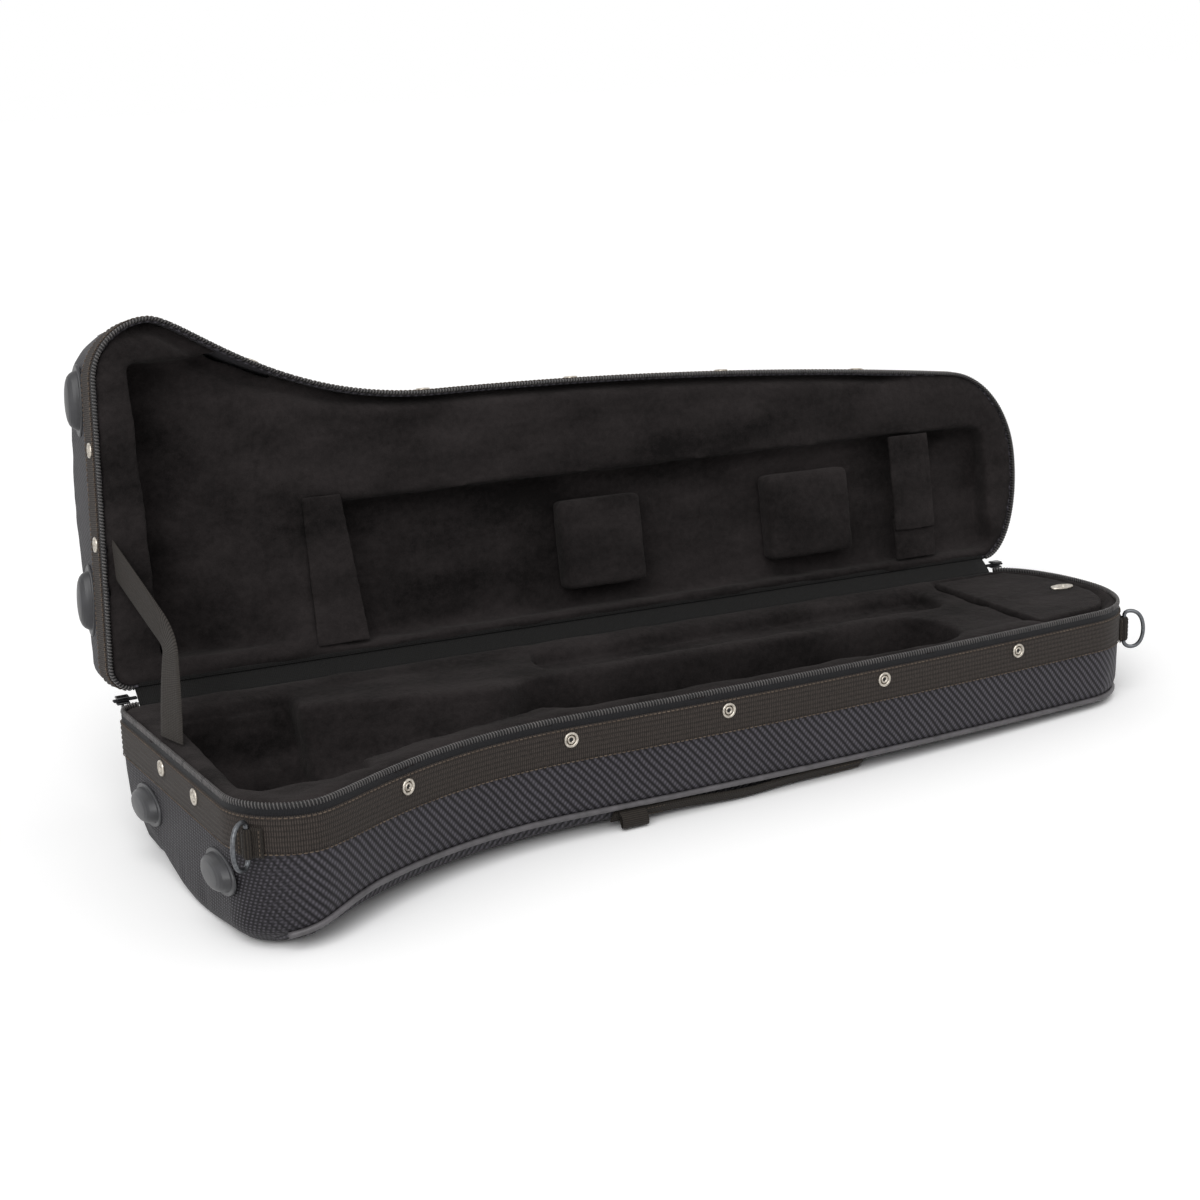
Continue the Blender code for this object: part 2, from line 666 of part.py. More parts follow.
def compartment(base, base_lining, finishes, home, cutters):
    """Accessory compartment: a ledged well in the lining, and its lid with the pull plate."""
    ledge = LINING_TOP + COMPARTMENT_LID_THICK + GAP
    seat = prism(base, tail_outline(COMPARTMENT_FROM, COMPARTMENT_MARGIN), -OVERRUN, ledge)
    cut(base_lining, "compartment_seat", seat, finishes["plush"], cutters)
    shape = tail_outline(COMPARTMENT_FROM + COMPARTMENT_LEDGE, COMPARTMENT_MARGIN + COMPARTMENT_LEDGE)
    well = prism(base, shape, -OVERRUN, COMPARTMENT_DEPTH)
    cut(base_lining, "compartment_well", well, finishes["plush"], cutters)
    shape = tail_outline(COMPARTMENT_FROM + COMPARTMENT_CLEAR, COMPARTMENT_MARGIN + COMPARTMENT_CLEAR)
    cover = prism(base, shape, LINING_TOP, LINING_TOP + COMPARTMENT_LID_THICK)
    axis = base.place((COMPARTMENT_FROM, 0), LINING_TOP)
    cover = add("compartment_lid", cover, finishes["plush"], base.parent, home)
    pivot(cover, axis)

    pull_u = CASE_LENGTH - COMPARTMENT_MARGIN - PULL_FROM_EDGE
    pull_w = front_width(COMPARTMENT_FROM) / 2
    plate = bmesh.new()
    bmesh.ops.create_cone(plate, cap_ends=True, segments=24, radius1=0.5, radius2=0.5, depth=1.0)
    size = Matrix.Diagonal((PULL_LENGTH, PULL_WIDTH, PULL_THICK, 1.0))
    middle = Matrix.Translation(base.place((pull_u, pull_w), LINING_TOP - GAP - PULL_THICK / 2))
    bmesh.ops.transform(plate, matrix=middle @ size, verts=plate.verts)
    plate = add("compartment_pull_plate", plate, finishes["nickel"], base.parent, home)
    eyelet = bmesh.new()
    bmesh.ops.create_cone(eyelet, cap_ends=True, segments=16, radius1=PULL_EYELET, radius2=PULL_EYELET,
                          depth=OVERRUN)
    bmesh.ops.transform(eyelet, matrix=middle, verts=eyelet.verts)
    pivot(plate, axis)
    cut(plate, "pull_eyelet", eyelet, finishes["nickel"], cutters)


def spread(shares, size):
    return tuple(share * size for share in shares)


def lying_cone(half, span, radii, middle, depth):
    """Round cutter lying along the case over a span of u."""
    bm = bmesh.new()
    bmesh.ops.create_cone(bm, cap_ends=True, segments=40, radius1=radii[0], radius2=radii[1],
                          depth=span[1] - span[0])
    spot = half.place(((span[0] + span[1]) / 2, middle), depth)
    lay = Matrix.Translation(spot) @ Matrix.Rotation(math.pi / 2, 4, "Y")
    bmesh.ops.transform(bm, matrix=lay, verts=bm.verts)
    return bm


def base_recesses(base, base_lining, finish, cutters):
    """Bell slot, flare channel, tuning-slide recess and the long channel along the spine."""
    span = spread(BELL_SLOT_SPAN_SHARES, CASE_LENGTH)
    slot = lying_cone(base, span, (BELL_SLOT_RADIUS, BELL_SLOT_RADIUS), BELL_SLOT_MIDDLE,
                      BELL_SLOT_DEPTH - BELL_SLOT_RADIUS)
    cut(base_lining, "bell_slot", slot, finish, cutters)
    span = spread(FLARE_SPAN_SHARES, CASE_LENGTH)
    flare = lying_cone(base, span, (FLARE_RADIUS, STEM_RADIUS), STEM_MIDDLE, 0)
    cut(base_lining, "flare_channel", flare, finish, cutters)

    sides = spread(BODY_RECESS_SIDE_SHARES, WAIST_WIDTH)
    spans = (spread(BODY_RECESS_SPAN_SHARES, CASE_LENGTH), sides, (-OVERRUN, BODY_RECESS_DEPTH))
    recess = rounded_box(base, spans, "upright", (sides[1] - sides[0]) * BODY_RECESS_CORNER_SHARE, 6)
    cut(base_lining, "body_recess", recess, finish, cutters)
    sides = spread(CHANNEL_SIDE_SHARES, WAIST_WIDTH)
    spans = (spread(CHANNEL_SPAN_SHARES, CASE_LENGTH), sides, (-OVERRUN, CHANNEL_DEPTH))
    channel = rounded_box(base, spans, "upright", (sides[1] - sides[0]) * CHANNEL_CORNER_SHARE, 3)
    cut(base_lining, "spine_channel", channel, finish, cutters)


def lid_recesses(lid, lid_lining, finishes, home, cutters):
    """Sloping bell recess, slide recess, and the flap, blocks and strap that hold the slide."""
    ramp_end = LID_BELL_TO + (LID_BELL_TO - LID_BELL_FROM) * OVERRUN / LID_BELL_DEEP
    section = ((LID_BELL_FROM, -OVERRUN), (LID_BELL_FROM, LID_BELL_DEEP), (ramp_end, -OVERRUN))
    ramp = loft(lid, [[(Vector((u, w)), depth) for u, depth in section]
                      for w in (LID_BELL_HINGE_SIDE, LID_BELL_FRONT_SIDE)])
    cut(lid_lining, "lid_bell_recess", ramp, finishes["plush"], cutters)
    spans = ((SLIDE_FROM, SLIDE_TO), (SLIDE_HINGE_SIDE, SLIDE_FRONT_SIDE), (-OVERRUN, SLIDE_DEPTH))
    recess = rounded_box(lid, spans, "upright", SLIDE_CORNER, 3)
    cut(lid_lining, "slide_recess", recess, finishes["plush"], cutters)

    flap_top = LINING_TOP + FLAP_SINK
    flap_low = flap_top + FLAP_THICK
    flap = prism(lid, flap_outline(0), flap_top, flap_low)
    add("slide_pocket_flap", flap, finishes["plush"], lid.parent, home)
    seat = prism(lid, flap_outline(GAP), -OVERRUN, flap_low + GAP)
    cut(lid_lining, "flap_seat", seat, finishes["plush"], cutters)

    for number, shares in enumerate(zip(BLOCK_FROM_SHARES, BLOCK_LENGTH_SHARES), 1):
        start, length = spread(shares, CASE_LENGTH)
        sides = spread(BLOCK_SIDE_SHARES, TAIL_WIDTH)
        spans = ((start, start + length), sides, (BLOCK_TOP, SLIDE_DEPTH - GAP))
        block = rounded_box(lid, spans, "all", BLOCK_EDGE, 2)
        add("slide_block_%d" % number, block, finishes["plush"], lid.parent, home)
    retainer(lid, lid_lining, finishes, home, cutters)


def flap_outline(grow):
    """Four corners of the pocket flap over the start of the slide recess."""
    start = SLIDE_FROM - FLAP_BEFORE_SLIDE - grow
    hinge_side = SLIDE_HINGE_SIDE - FLAP_HINGE_MARGIN - grow
    front_side = SLIDE_FRONT_SIDE + FLAP_FRONT_MARGIN + grow
    return [(start, hinge_side), (SLIDE_FROM + FLAP_OVER_HINGE_END + grow, hinge_side),
            (SLIDE_FROM + FLAP_OVER_FRONT_END + grow, front_side), (start, front_side)]


def retainer(lid, lid_lining, finishes, home, cutters):
    """Strap across the slide recess in two halves that overlap."""
    end = RETAINER_FROM + RETAINER_WIDTH
    low_top = RETAINER_TOP + RETAINER_THICK + GAP
    seat = box_outline(RETAINER_FROM - GAP, end + GAP, RETAINER_SEAT_FROM - GAP, SLIDE_HINGE_SIDE + OVERRUN)
    seat_low = low_top + RETAINER_THICK + GAP
    cut(lid_lining, "retainer_seat", prism(lid, seat, -OVERRUN, seat_low), finishes["plush"], cutters)
    shape = box_outline(RETAINER_FROM, end, RETAINER_SEAT_FROM, RETAINER_LAP_FROM + RETAINER_LAP)
    lower = prism(lid, shape, low_top, low_top + RETAINER_THICK)
    add("slide_strap_lower", lower, finishes["strap"], lid.parent, home)
    shape = box_outline(RETAINER_FROM, end, RETAINER_LAP_FROM, SLIDE_FRONT_SIDE - GAP)
    upper = prism(lid, shape, RETAINER_TOP, RETAINER_TOP + RETAINER_THICK)
    upper = add("slide_strap_upper", upper, finishes["strap"], lid.parent, home)
    pivot(upper, lid.place((RETAINER_FROM + RETAINER_WIDTH / 2, SLIDE_FRONT_SIDE - GAP), RETAINER_TOP))


def ring_tab(base, name, point, finish, home, cutters):
    """Webbing tab sewn to the band and folded round the straight bar of a D-ring."""
    bar = TAB_THICK + RING_CLEAR + RING_WIRE
    loop = RING_WIRE + RING_CLEAR + TAB_THICK
    section = [(-TAB_LENGTH / 2, 0), (TAB_LENGTH / 2, 0), (TAB_LENGTH / 2, TAB_THICK / 2)]
    for step in range(TAB_ARC_STEPS + 1):
        turn = math.pi * step / TAB_ARC_STEPS
        section.append((loop * math.cos(turn), bar + loop * math.sin(turn)))
    section.append((-TAB_LENGTH / 2, TAB_THICK / 2))
    bm = bridged([[(along, height, outward) for along, outward in section]
                  for height in (-TAB_HEIGHT / 2, TAB_HEIGHT / 2)])
    frame = wall_frame(base, point, GAP + BAND_THICK + GAP, RING_DEPTH)
    bmesh.ops.transform(bm, matrix=frame, verts=bm.verts)
    bmesh.ops.recalc_face_normals(bm, faces=bm.faces)
    tab = add(name + "_ring_tab", bm, finish, base.parent, home)
    hole = bmesh.new()
    bmesh.ops.create_cone(hole, cap_ends=True, segments=TAB_HOLE_STEPS, radius1=RING_WIRE + RING_CLEAR,
                          radius2=RING_WIRE + RING_CLEAR, depth=TAB_HEIGHT + OVERRUN)
    stand = Matrix.Translation((0, 0, bar)) @ Matrix.Rotation(math.pi / 2, 4, "X")
    bmesh.ops.transform(hole, matrix=frame @ stand, verts=hole.verts)
    cut(tab, name + "_ring_hole", hole, finish, cutters)
    return frame @ Vector((0, 0, bar)), frame


def d_ring(base, name, axis_spot, frame, finish, home):
    """Wire D-ring that swings round its upright straight bar."""
    curve = bpy.data.curves.new(name, "CURVE")
    curve.dimensions = "3D"
    curve.bevel_depth = RING_WIRE
    curve.bevel_resolution = 2
    half_height = RING_HEIGHT / 2
    shape = [(0, half_height - RING_WIRE), (0, RING_WIRE - half_height)]
    for step in range(1, RING_ARC_STEPS):
        turn = math.pi * step / RING_ARC_STEPS
        reach = RING_WIRE + (RING_BULGE - RING_WIRE) * math.sin(turn) ** RING_SQUARENESS
        shape.append((reach, -half_height * math.cos(turn)))
    spline = curve.splines.new("POLY")
    spline.points.add(len(shape) - 1)
    turn_only = frame.to_3x3()
    for control, (outward, up) in zip(spline.points, shape):
        control.co = (*(turn_only @ Vector((0, up, outward))), 1.0)
    spline.use_cyclic_u = True
    made = bpy.data.objects.new(name, curve)
    curve.materials.append(finish)
    made.parent = base.parent
    made.location = axis_spot
    home.objects.link(made)


def grab_handle(base, finish, home):
    """Webbing grab handle on the narrow end wall, sewn flat at both ends."""
    steps = [step / GRAB_STEPS for step in range(GRAB_STEPS + 1)]
    points = [rim_at(TAIL_ARC, mix(GRAB_FROM_SHARE, 1, step)) for step in steps[:-1]]
    points += [rim_at(TAIL_HINGE_ARC, GRAB_TO_SHARE * step) for step in steps]
    seat = GAP + BAND_THICK + GAP
    band_middle = COIL_HEIGHT + GAP + TAPE_HEIGHT + GAP + BAND_WIDTH / 2
    rings = []
    for number, point in enumerate(points):
        t = number / (len(points) - 1)
        free = smooth(min(t, 1 - t) / GRAB_SEWN_SHARE - 1)
        inner = seat + GRAB_BULGE * free * math.sin(math.pi * t)
        edges = (band_middle - GRAB_WIDTH / 2, band_middle + GRAB_WIDTH / 2)
        section = rectangle(inner, inner + GRAB_THICK, *edges)
        rings.append([(out(point, offset), depth) for offset, depth in section])
    add("narrow_end_grab_handle", loft(base, rings), finish, base.parent, home)


def slope_at(half, u):
    """Start and directions of the rounded underside next to the front piping, as offset and depth."""
    point = front_point(u)
    piping = half.piping(point.spot)
    fall = half.floor(point.spot.x) - piping
    down = Vector((PIPING_INSET - ROUND_INSET, fall * ROUND_DROP_SHARE)).normalized()
    start = Vector((-PIPING_INSET, piping)) + down * PIPING_RADIUS
    return point, start, down, Vector((down.y, -down.x))


def slope_strip(half, stations, width, inner, outer):
    """Flat strip lying along the rounded front edge of the underside."""
    rings = []
    for u in stations:
        point, start, down, away = slope_at(half, u)
        corners = [start + away * inner, start + away * outer,
                   start + down * width + away * outer, start + down * width + away * inner]
        rings.append([(out(point, corner.x), corner.y) for corner in corners])
    return loft(half, rings)


def carry_handle(half, finish, home):
    """Webbing carry handle under the front edge, hinged on its two sewn anchors."""
    for number, place in enumerate(spread(ANCHOR_FROM_SHARES, CASE_LENGTH), 1):
        strip = slope_strip(half, (place, place + ANCHOR_LENGTH), ANCHOR_WIDTH, GAP, GAP + ANCHOR_THICK)
        add("%s_handle_anchor_%d" % (half.name, number), strip, finish, half.parent, home)
    inner = GAP + ANCHOR_THICK + GAP
    stations = [mix(HANDLE_FROM, HANDLE_TO, step / HANDLE_STEPS) for step in range(HANDLE_STEPS + 1)]
    strip = slope_strip(half, stations, HANDLE_WIDTH, inner, inner + HANDLE_THICK)
    made = add(half.name + "_carry_handle", strip, finish, half.parent, home)
    pivot(made, handle_axis(half, (HANDLE_FROM + HANDLE_TO) / 2))


def handle_axis(half, u):
    """A point of the carry handle's hinge line."""
    point, start, _, away = slope_at(half, u)
    spot = start + away * (GAP + ANCHOR_THICK + GAP + HANDLE_THICK / 2)
    return half.place(out(point, spot.x), spot.y)


def opened(base_spot):
    """Where a spot in the lid's own space lies in the base's space with the lid open."""
    turn = Matrix.Rotation(-OPEN_ANGLE, 3, "X")
    return turn @ base_spot + Vector((0, HINGE_OUT, RIM_GAP / 2))


def spine_hinge(base, lid, finish, home):
    """Fabric that joins the two spine walls and lets the lid fold back."""
    below = COIL_HEIGHT + GAP
    first = base.place((0, -GAP - SPINE_THICK / 2), below + SPINE_LEG)
    second = base.place((0, -GAP - SPINE_THICK / 2), below)
    third = opened(lid.place((0, -GAP - SPINE_THICK / 2), below))
    fourth = opened(lid.place((0, -GAP - SPINE_THICK / 2), below + SPINE_LEG))
    rise = (second - first).normalized()
    fall = (third - fourth).normalized()
    reach = (third - second).length * SPINE_EASE_SHARE
    bend = (second, second + rise * reach, third + fall * reach, third)
    line = [first] + [cubic(bend, share)[0] for share in SPINE_BEND_SHARES] + [fourth]
    section = []
    for side in (-1, 1):
        edge = []
        for number, spot in enumerate(line):
            before = line[max(number - 1, 0)]
            after = line[min(number + 1, len(line) - 1)]
            along = (after - before).normalized()
            across = Vector((0, -along.z, along.y))
            edge.append(spot + across * (side * SPINE_THICK / 2))
        section += edge if side < 0 else list(reversed(edge))
    ends = (HINGE_CORNER + RIM_GAP, CASE_LENGTH - TAIL_HINGE_ROUND - RIM_GAP)
    bm = bridged([[(u, spot.y, spot.z) for spot in section] for u in ends])
    add("spine_hinge_fabric", bm, finish, base.parent, home)


def stay_strap(base, lid, finish, home):
    """Webbing stay between the bell ends of the two halves, which stops the lid."""
    top_edge = LINING_TOP - GAP - STAY_THICK / 2
    lid_u = end_point(STAY_LID_AT).spot.x + STAY_INSET
    base_u = end_point(STAY_BASE_AT).spot.x + STAY_INSET
    start = opened(lid.place((lid_u, STAY_LID_AT), top_edge))
    end = base.place((base_u, STAY_BASE_AT), top_edge)
    lid_way = (opened(lid.place((lid_u, STAY_LID_AT + CASE_LENGTH), top_edge)) - start).normalized()
    base_way = Vector((0, -1, 0))
    middle = Vector(STAY_ELBOW) * 2 - (start + end) / 2
    rings = []
    for step in range(STAY_STEPS + 1):
        t = step / STAY_STEPS
        s = 1 - t
        spot = start * s * s + middle * (2 * s * t) + end * t * t
        along = ((middle - start) * s + (end - middle) * t).normalized()
        way = (lid_way * s + base_way * t).normalized()
        across = way * (STAY_WIDTH / 2 / max(along.cross(way).length, STAY_SKEW_SHARE))
        thick = along.cross(way).normalized() * (STAY_THICK / 2)
        corners = (across + thick, across - thick, -across - thick, -across + thick)
        rings.append([spot + corner for corner in corners])
    add("stay_strap", bridged(rings), finish, base.parent, home)


def plain_box(middle, size, bevel):
    bm = bmesh.new()
    bmesh.ops.create_cube(bm, size=1.0)
    bmesh.ops.scale(bm, vec=size, verts=bm.verts)
    bmesh.ops.translate(bm, vec=middle, verts=bm.verts)
    if bevel:
        bmesh.ops.bevel(bm, geom=list(bm.edges), offset=bevel, segments=1, profile=0.5, affect="EDGES")
    return bm


def zip_end(base, name, u, way, finishes, home, cutters):
    """Sewn tape end on the hinge line with its slider and the slider's pull tab."""
    hinge = Vector((0, HINGE_OUT, RIM_GAP / 2))
    tail_from = u - way * (RIM_GAP - GAP)
    middle = hinge + Vector((tail_from + way * TAIL_REACH / 2, 0, 0))
    tail = plain_box(middle, (TAIL_REACH, TAIL_WIDE, TAIL_THICK), 0)
    add("zip_tail_" + name, tail, finishes["tape"], base.parent, home)
    spot = hinge + Vector((u + way * (SLIDER_FROM_CORNER + SLIDER_LENGTH / 2), 0, 0))
    slider = plain_box(spot, (SLIDER_LENGTH, SLIDER_WIDTH, SLIDER_HEIGHT), SLIDER_BEVEL)
    slider = add("zip_slider_" + name, slider, finishes["dark metal"], base.parent, home)
    slot = (SLIDER_LENGTH + OVERRUN, TAIL_WIDE + 2 * SLIDER_CLEAR, TAIL_THICK + 2 * SLIDER_CLEAR)
    cut(slider, "slider_slot_" + name, plain_box(spot, slot, 0), finishes["dark metal"], cutters)
    axis = spot - Vector((0, 0, SLIDER_HEIGHT / 2 + PULL_TAB_NECK))
    size = (PULL_TAB_THICK, PULL_TAB_WIDTH, PULL_TAB_LENGTH)
    drop = Vector((0, 0, SLIDER_HEIGHT / 2 + GAP + PULL_TAB_LENGTH / 2))
    tab = plain_box(spot - drop, size, SLIDER_BEVEL / 2)
    tab = add("zip_pull_" + name, tab, finishes["dark metal"], base.parent, home)
    pivot(tab, axis)


def centre(frame, home):
    """Moves the whole case so that the middle of its box is over the origin."""
    bpy.context.view_layer.update()
    graph = bpy.context.evaluated_depsgraph_get()
    spots = []
    for item in home.objects:
        if item.type in {"MESH", "CURVE"}:
            seen = item.evaluated_get(graph)
            mesh = seen.to_mesh()
            spots += [seen.matrix_world @ vert.co for vert in mesh.vertices]
            seen.to_mesh_clear()
    for axis in (0, 1):
        low = min(spot[axis] for spot in spots)
        high = max(spot[axis] for spot in spots)
        frame.location[axis] -= (low + high) / 2


def build():
    clear_scene()
    home = collection("trombone_case")
    cutters = collection("cutters")
    finishes = {
        "shell": material("woven shell fabric", (0.035, 0.036, 0.042), 0.85),
        "plush": material("plush lining", (0.012, 0.011, 0.012), 0.95),
        "piping": material("vinyl piping", (0.10, 0.10, 0.11), 0.55),
        "webbing": material("polypropylene webbing", (0.026, 0.022, 0.020), 0.8),
        "strap": material("plush strap", (0.02, 0.018, 0.019), 0.9),
        "tape": material("zip tape", (0.015, 0.015, 0.016), 0.85),
        "coil": material("nylon zip coil", (0.008, 0.008, 0.009), 0.35),
        "rubber": material("rubber foot", (0.05, 0.05, 0.055), 0.6),
        "nickel": material("nickel plate", (0.75, 0.74, 0.72), 0.25, 1.0),
        "dark metal": material("gunmetal plate", (0.25, 0.26, 0.28), 0.35, 1.0),
    }
    tilt = math.atan((BASE_BELL_DEPTH - BASE_TAIL_DEPTH) / CASE_LENGTH)
    frame = bpy.data.objects.new("case_frame", None)
    frame.rotation_euler = (0, tilt, 0)
    frame.location = (0, 0, BASE_BELL_DEPTH * math.cos(tilt))
    home.objects.link(frame)
    hinge = bpy.data.objects.new("lid_hinge", None)
    hinge.parent = frame
    hinge.location = (0, HINGE_OUT, RIM_GAP / 2)
    hinge.rotation_euler = (-OPEN_ANGLE, 0, 0)
    home.objects.link(hinge)
    base = Half("base", frame, (BASE_BELL_DEPTH, BASE_TAIL_DEPTH), (BASE_WALL, BASE_FLOOR_WALL))
    lid = Half("lid", hinge, (LID_BELL_DEPTH, LID_TAIL_DEPTH), (LID_WALL, LID_FLOOR_WALL))

    for half in (base, lid):
        shell(half, finishes["shell"], home)
        piping(half, finishes["piping"], home)
        rim_strips(half, finishes, home)
        rivets(half, finishes["nickel"], home)
        end_feet(half, finishes["rubber"], home)
        carry_handle(half, finishes["webbing"], home)
    base_lining = lining(base, lambda u: base.floor(u) - BASE_FLOOR_WALL - GAP, finishes["plush"], home)
    lid_lining = lining(lid, lambda u: mix(LID_LINING_BELL_DEPTH, LID_LINING_TAIL_DEPTH, u / CASE_LENGTH),
                        finishes["plush"], home)
    base_recesses(base, base_lining, finishes["plush"], cutters)
    compartment(base, base_lining, finishes, home, cutters)
    lid_recesses(lid, lid_lining, finishes, home, cutters)
    underside_feet(base, finishes["rubber"], home, cutters)
    places = {"bell_end": facet_at(FRONT_CORNER_ARC, BELL_RING_AT_SHARE),
              "narrow_end": facet_at(TAIL_ARC, TAIL_RING_AT_SHARE)}
    for name, point in places.items():
        spot, turn = ring_tab(base, name, point, finishes["webbing"], home, cutters)
        d_ring(base, name + "_d_ring", spot, turn, finishes["dark metal"], home)
    grab_handle(base, finishes["webbing"], home)
    spine_hinge(base, lid, finishes["shell"], home)
    stay_strap(base, lid, finishes["webbing"], home)
    zip_end(base, "bell_end", HINGE_CORNER, -1, finishes, home, cutters)
    zip_end(base, "narrow_end", CASE_LENGTH - TAIL_HINGE_ROUND, 1, finishes, home, cutters)
    centre(frame, home)


build()
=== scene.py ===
"""Looks of a zip-up trombone case, standing open on a pale floor.

Metres, +Z up. A place on the case has u along the hinge from the bell end, w from the hinge to the
zip, and a depth from the parting plane into the half. Wall pieces use along, up and out.
"""
import json
import math
from collections import namedtuple

import bmesh
import bpy
from mathutils import Matrix, Vector, noise
from mathutils.kdtree import KDTree


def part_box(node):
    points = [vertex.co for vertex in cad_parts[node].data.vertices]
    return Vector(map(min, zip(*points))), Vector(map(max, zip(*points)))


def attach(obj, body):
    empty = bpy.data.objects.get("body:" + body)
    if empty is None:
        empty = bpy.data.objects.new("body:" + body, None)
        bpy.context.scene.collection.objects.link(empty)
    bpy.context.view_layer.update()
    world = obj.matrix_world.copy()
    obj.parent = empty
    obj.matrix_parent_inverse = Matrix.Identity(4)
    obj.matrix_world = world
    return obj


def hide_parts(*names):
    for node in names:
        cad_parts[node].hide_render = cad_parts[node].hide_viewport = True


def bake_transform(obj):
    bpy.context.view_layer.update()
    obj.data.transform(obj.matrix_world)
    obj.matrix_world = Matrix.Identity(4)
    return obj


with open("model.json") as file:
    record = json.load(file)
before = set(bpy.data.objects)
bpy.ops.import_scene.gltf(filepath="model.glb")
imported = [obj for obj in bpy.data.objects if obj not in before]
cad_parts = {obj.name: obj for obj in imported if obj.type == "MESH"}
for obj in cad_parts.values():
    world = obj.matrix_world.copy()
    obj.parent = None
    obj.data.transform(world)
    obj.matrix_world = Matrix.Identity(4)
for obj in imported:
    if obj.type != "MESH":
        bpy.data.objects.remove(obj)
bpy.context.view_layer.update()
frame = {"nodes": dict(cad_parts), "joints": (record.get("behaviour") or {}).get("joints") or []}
NODES = frame["nodes"]

# Outline of the rim, as in the part's source
CASE_LENGTH = 0.940
BELL_WIDTH = 0.306
WAIST_WIDTH = 0.2225
TAIL_WIDTH = 0.1904
WAIST_AT_SHARE = 0.34
TAIL_ROUND_LENGTH = 0.0675
TAIL_ROUND_WIDTH = 0.0894
TAIL_HINGE_ROUND = 0.047
BELL_CORNER = 0.049
HINGE_CORNER = 0.018
END_RAKE = 0.0195
ARC_SHARE = 0.5523
FLARE_SHARES = (0.12, 0.60)
BOW_SHARE = 0.333
BOW_RISE_SHARE = 0.66
TAIL_ARC_SHARE = 0.55
# Numbers of the arcs that draw the rim; the flare between the front corner and the waist has number 3
CORNER_ARC, WALL_ARC, FRONT_CORNER_ARC = range(3)
BOW_ARC, TAIL_ARC, TAIL_HINGE_ARC, HINGE_ARC = range(4, 8)

# Depths of the halves and the shape of their sides
BELL_DEPTHS = {"base": 0.119, "lid": 0.124}
TAIL_DEPTHS = {"base": 0.096, "lid": 0.098}
WALLS = {"base": 0.010, "lid": 0.0075}
SIDE_SHARE = 0.9167
BELL_CORNER_SHARE = 0.915
HINGE_CORNER_SHARE = 0.660
END_MIDDLE_SHARE = 0.195
CORNER_DROP_FROM = 0.130
CORNER_DROP_TO = 0.008
PIPING_INSET = 0.006
ROUND_INSET = 0.014
END_PIPING_INSET = 0.0035
END_ROUND_INSET = 0.009
END_BLEND = 0.050
ROUND_DROP_SHARE = 0.54
BELLY_DROP_SHARE = 0.78
BELLY_IN_SHARE = 0.28
FLAT_FRONT_SHARE = 0.45
FLAT_SPINE_SHARE = 0.16
BELL_MIDDLE = 0.100
TAIL_MIDDLE = 0.075
HINGE_OUT = 0.008
RIM_GAP = 0.001
OPEN_ANGLE = math.radians(99.57)
GAP = 0.0003

# Twill shells: the side runs straight down to a little above the piping, then turns in
SHELL_TOP = 0.0053
SIDE_STRAIGHT_ABOVE = 0.012
END_STRAIGHT_ABOVE = 0.011
SIDE_SWELL = 0.0010
SAG = 0.0010
SAGS_PER_M = 14
PUCKER = 0.0009
PUCKERS_PER_M = 75
PUCKER_FROM_SHARE = 0.7
TURN_ROUNDNESS = 0.35
SKIN = 0.003
SKIN_TOP = 0.0058
# Above this share of near_end the cloth of the side runs on under the case; elsewhere a panel covers it
WRAP_END_SHARE = 0.3
PANEL_MARK = 5.0

# Rim trim
RIM_STEP = 0.0045
COIL_PITCH = 0.00275
COIL_WIRE = 0.00066
COIL_HALF_WIDTH = 0.0020
COIL_HALF_HEIGHT = 0.0030
COIL_TURN_STEPS = 8
COIL_FLATNESS = 0.8
CORE_HALF_WIDTH = 0.0011
CORE_SPAN = (0.0012, 0.0056)
CORE_ROUND = 0.0009
TAPE_THICK = 0.0011
TAPE_SPAN = (0.0042, 0.0108)
TAPE_ROUND = 0.0005
BAND_FROM = 0.0106
BAND_WIDTH = 0.0298
BAND_THICK = 0.0020
BAND_RIBS = 7
BAND_RIB_HEIGHT = 0.0006
BAND_SEAM_INSETS = (0.0012, 0.0009)
PIPING_RADIUS = 0.0025
PIPING_CENTRE_INSET = 0.0024
PIPING_ENDS_AT = 0.045
BINDING_INSIDE = 0.0042
BINDING_SPAN = (0.0042, 0.0086)
BINDING_ROUND = 0.0010

# Ribs and thinned edges of the straps, and stitches as pitch, length and radius of the thread
RIB_HEIGHT = 0.0003
EDGE_THIN_SHARE = 0.1
EDGE_THICK_SHARE = 0.4
THREAD_RISE = 0.0003
BAND_STITCH = (0.0042, 0.0034, 0.00060)
TAB_STITCH = (0.0034, 0.0025, 0.0004)
GRAB_STITCH = (0.0040, 0.0029, 0.0004)
HANDLE_STITCH = (0.0036, 0.0026, 0.0004)

# Rivets and feet; profiles are pairs of radius and height
RIVET_DEPTH = 0.0205
RIVET_RING = ((0.0040, 0.0000), (0.0066, 0.0000), (0.0067, 0.0009), (0.0062, 0.0017), (0.0054, 0.0019),
              (0.0046, 0.0014), (0.0041, 0.0007))
RIVET_EYE = ((0.0016, 0.0000), (0.0037, 0.0000), (0.0036, 0.0009), (0.0030, 0.0014), (0.0022, 0.0012),
             (0.0016, 0.0005))
RIVET_HOLE = 0.0045
HOLE_DISC = 0.0005
HOLE_RISE = 0.0003
FRONT_RIVET_SHARES = (0.166, 0.331, 0.487, 0.657, 0.820)
END_RIVET_SHARES = (0.40, 0.658)
END_FOOT_SHARES = (0.24, 0.80)
END_FOOT_DEPTH = 0.066
END_FOOT_SIZE = (0.062, 0.033)
